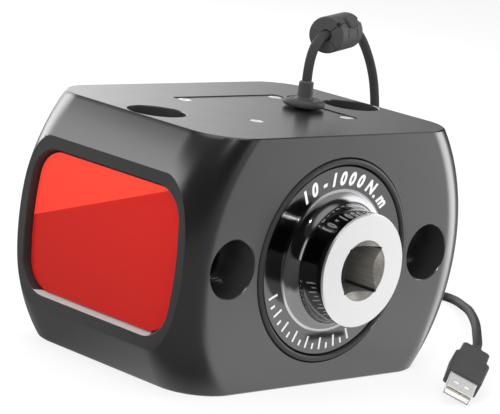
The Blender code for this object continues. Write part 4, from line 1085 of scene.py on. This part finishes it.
def surroundings():
    """White for the camera; what surfaces mirror is dark on the viewpoint's side."""
    world = bpy.data.worlds.new("studio")
    world.use_nodes = True
    bpy.context.scene.world = world
    sky = Graph(world.node_tree)
    x, y, z = sky.parts(sky.node("ShaderNodeTexCoord", output="Generated"))
    strongest = max(strength for angle, strength in ROUND_ABOUT)
    ramp = sky.node("ShaderNodeValToRGB", {0: bearing(x, y) / tau + 0.5})
    elements = ramp.socket.node.color_ramp.elements
    while len(elements) < len(ROUND_ABOUT):
        elements.new(1.0)
    for element, (angle, strength) in zip(elements, ROUND_ABOUT):
        grey = strength / strongest
        element.position = (angle + 180) / 360
        element.color = (grey, grey, grey, 1)
    low = sky.ease(z, 0.66, 0.5)
    high = sky.ease(z, 0.80, 0.95) * 0.9 + 0.08
    mirrored = ramp * strongest * low + high * (1 - low)
    camera, glossy = sky.rays()
    background = world.node_tree.nodes["Background"]
    background.inputs["Color"].default_value = (1, 1, 1, 1)
    sky.plug(background.inputs["Strength"], camera + glossy * mirrored + (1 - camera - glossy) * SKY_LIGHT)


def floor():
    """White and shadowed for the camera, with other levels where it is mirrored."""
    bm = bmesh.new()
    bmesh.ops.create_circle(bm, cap_ends=True, segments=96, radius=4.0)
    obj = mesh_object(bm, place_at((0, 0, CAD_BOX[0].z - 0.2 * MM)))
    obj.name = "floor"
    material = bpy.data.materials.new("floor_white")
    material.use_nodes = True
    ground = Graph(material.node_tree)
    ground.tree.nodes.remove(ground.tree.nodes["Principled BSDF"])
    ease = ground.ease
    x, y, z = ground.parts(ground.node("ShaderNodeNewGeometry", output="Position"))
    towards = x * -AHEAD.x - y * AHEAD.y
    across = x * AHEAD.y - y * AHEAD.x
    # The right front corner of the block, whose bright edge mirrors a narrow part of the floor
    corner = Vector((BLOCK_HIGH.x - CORNER_RADIUS, CORNER_RADIUS - BLOCK_DEPTH / 2))
    corner += Vector((AHEAD.y, -AHEAD.x)) * 18 * MM
    turn = bearing(x - corner.x, y - corner.y)
    shadow_side = ease(turn, -0.2, 0.1) * ease(turn, 0.85, 0.7)
    lit_side = ease(turn, 0.78, 0.92) * ease(turn, 1.42, 1.28)
    level = ease(across, -0.10, 0.04) * 0.95 - ease(across, 0.15, 0.34) * 0.3 + 0.15
    near_side = ease(towards + ease(across, 0.06, 0.0) * 0.026, 0.097, 0.118)
    lit = lit_side * (1.6 + ease(towards, -0.05, -0.22) * 2.4)
    mirrored = level * (1 - near_side * 0.98) * (1 - shadow_side * 0.95) + lit
    camera, glossy = ground.rays()
    diffuse = ground.node("ShaderNodeBsdfDiffuse", {"Color": (FLOOR_GREY, FLOOR_GREY, FLOOR_GREY, 1)})
    glow = ground.node("ShaderNodeEmission", {"Color": (1, 1, 1, 1),
                                              "Strength": camera + (1 - camera) * mirrored})
    factor = camera * FLOOR_SHOWN_WHITE + glossy * FLOOR_MIRRORED
    mixed = ground.node("ShaderNodeMixShader", {0: factor, 1: diffuse, 2: glow})
    ground.plug(ground.tree.nodes["Material Output"].inputs["Surface"], mixed)
    obj.data.materials.append(material)


def lamp(name, place, target, width, height, power, mirrored=False):
    light = given(bpy.data.lights.new(name, "AREA"), shape="RECTANGLE", size=width, size_y=height, energy=power)
    turn = (Vector(target) - Vector(place)).to_track_quat("-Z", "Y").to_euler()
    given(new_object(name, light), location=place, rotation_euler=turn, visible_glossy=mirrored)


def lamps():
    lamp("right_softbox", (0.75, -0.75, 0.45), (0, -0.05, 0.05), 0.6, 0.6, 3)
    lamp("top_softbox", (0.1, 0.2, 1.1), (0, 0, 0.05), 1.0, 1.0, 8)
    lamp("back_softbox", (0.3, 1.0, 0.5), (0, 0, 0.1), 0.9, 0.5, 6)
    lamp("left_softbox", (-0.9, -0.5, 0.5), (-0.05, 0, 0.05), 0.5, 0.6, 8)
    lamp("key", (-0.27, -0.95, 0.95), (0, -0.05, 0.05), 0.03, 0.03, 1.2, mirrored=True)


def camera():
    data = given(bpy.data.cameras.new("camera"), lens=CAMERA_LENS, clip_start=0.01, clip_end=20)
    obj = new_object("camera", data)
    right = CAMERA_FORWARD.cross(CAMERA_UP).normalized()
    up = right.cross(CAMERA_FORWARD).normalized()
    axes = Matrix((right, up, -CAMERA_FORWARD)).transposed().to_4x4()
    obj.matrix_world = place_at(CAMERA_PLACE) @ axes
    bpy.context.scene.camera = obj


# Everything in its place


def kept_nodes(finishes):
    """Inner pieces keep their meshes and get a finish by the start of their names."""
    for name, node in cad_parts.items():
        for finish, starts in finishes.items():
            if name.startswith(starts):
                node.data.materials.clear()
                node.data.materials.append(finish.material)


def build():
    bpy.context.scene.view_settings.view_transform = "Standard"
    camera()
    black = block_finish()
    rubber = moulded_finish("gland_rubber", (0.040, 0.040, 0.040), 0.45, gloss=1.3)
    case_plastic = moulded_finish("case_plastic", (0.048, 0.048, 0.0485), 0.5, gloss=1.22)
    lead_plastic = moulded_finish("lead_plastic", (0.032, 0.032, 0.0325), 0.5, 0.006, 1.12)
    chip_plastic = moulded_finish("chip_plastic", (0.02, 0.02, 0.022), 0.5)
    white_plastic = moulded_finish("white_plastic", (0.62, 0.62, 0.60), 0.35)
    steel = metal_finish("screw_steel", (0.86, 0.86, 0.84), 0.25, 0.6)
    shell_steel = metal_finish("shell_steel", (0.74, 0.74, 0.74), 0.25, 0.35)
    dark_steel = metal_finish("bolt_steel", (0.06, 0.06, 0.062), 0.36, 0.85)
    gold = metal_finish("contact_gold", (0.83, 0.60, 0.24), 0.25)
    core = metal_finish("ferrite_grey", (0.09, 0.09, 0.10), 0.5, 0.2)
    amber = striped_finish("gauge_amber", (0.62, 0.34, 0.08), (0.55, 0.46, 0.33), 1, 0.6, 0.45, metallic=0.7)
    green = striped_finish("board_green", (0.010, 0.12, 0.045), (0.03, 0.22, 0.08), 0, 2.1, 0.3, bump=0.03)
    kept_nodes({amber: "strain_gauge", green: "circuit_board", lead_plastic: "gauge_wires",
                rubber: "cover_gasket", shell_steel: "crystal", steel: ("board_screw", "dowel_pin"),
                chip_plastic: ("processor_chip", "converter_chip", "memory_chip", "gland_nut"),
                white_plastic: ("board_connector", "usb_plug_tongue"), core: "ferrite_core",
                gold: "usb_contact"})
    ferrite_pieces = ferrite(case_plastic)
    plug_pieces = plug(case_plastic, shell_steel, white_plastic)
    lead(lead_plastic)
    housing(black)
    badge(badge_finish())
    transducer(drive_finish())
    seal(speckled_finish("seal_rubber", 0.018, 0.034, 0.40, 0.12, 0.01, (1200, 4), gloss=1.4))
    dial_print(speckled_finish("white_print", 0.80, 0.92, 0.4, 0.0, 0.0, (1500, 3)))
    rear_bolts(dark_steel)
    cover(black)
    cover_screws(steel)
    gland(rubber)
    surroundings()
    floor()
    lamps()


build()
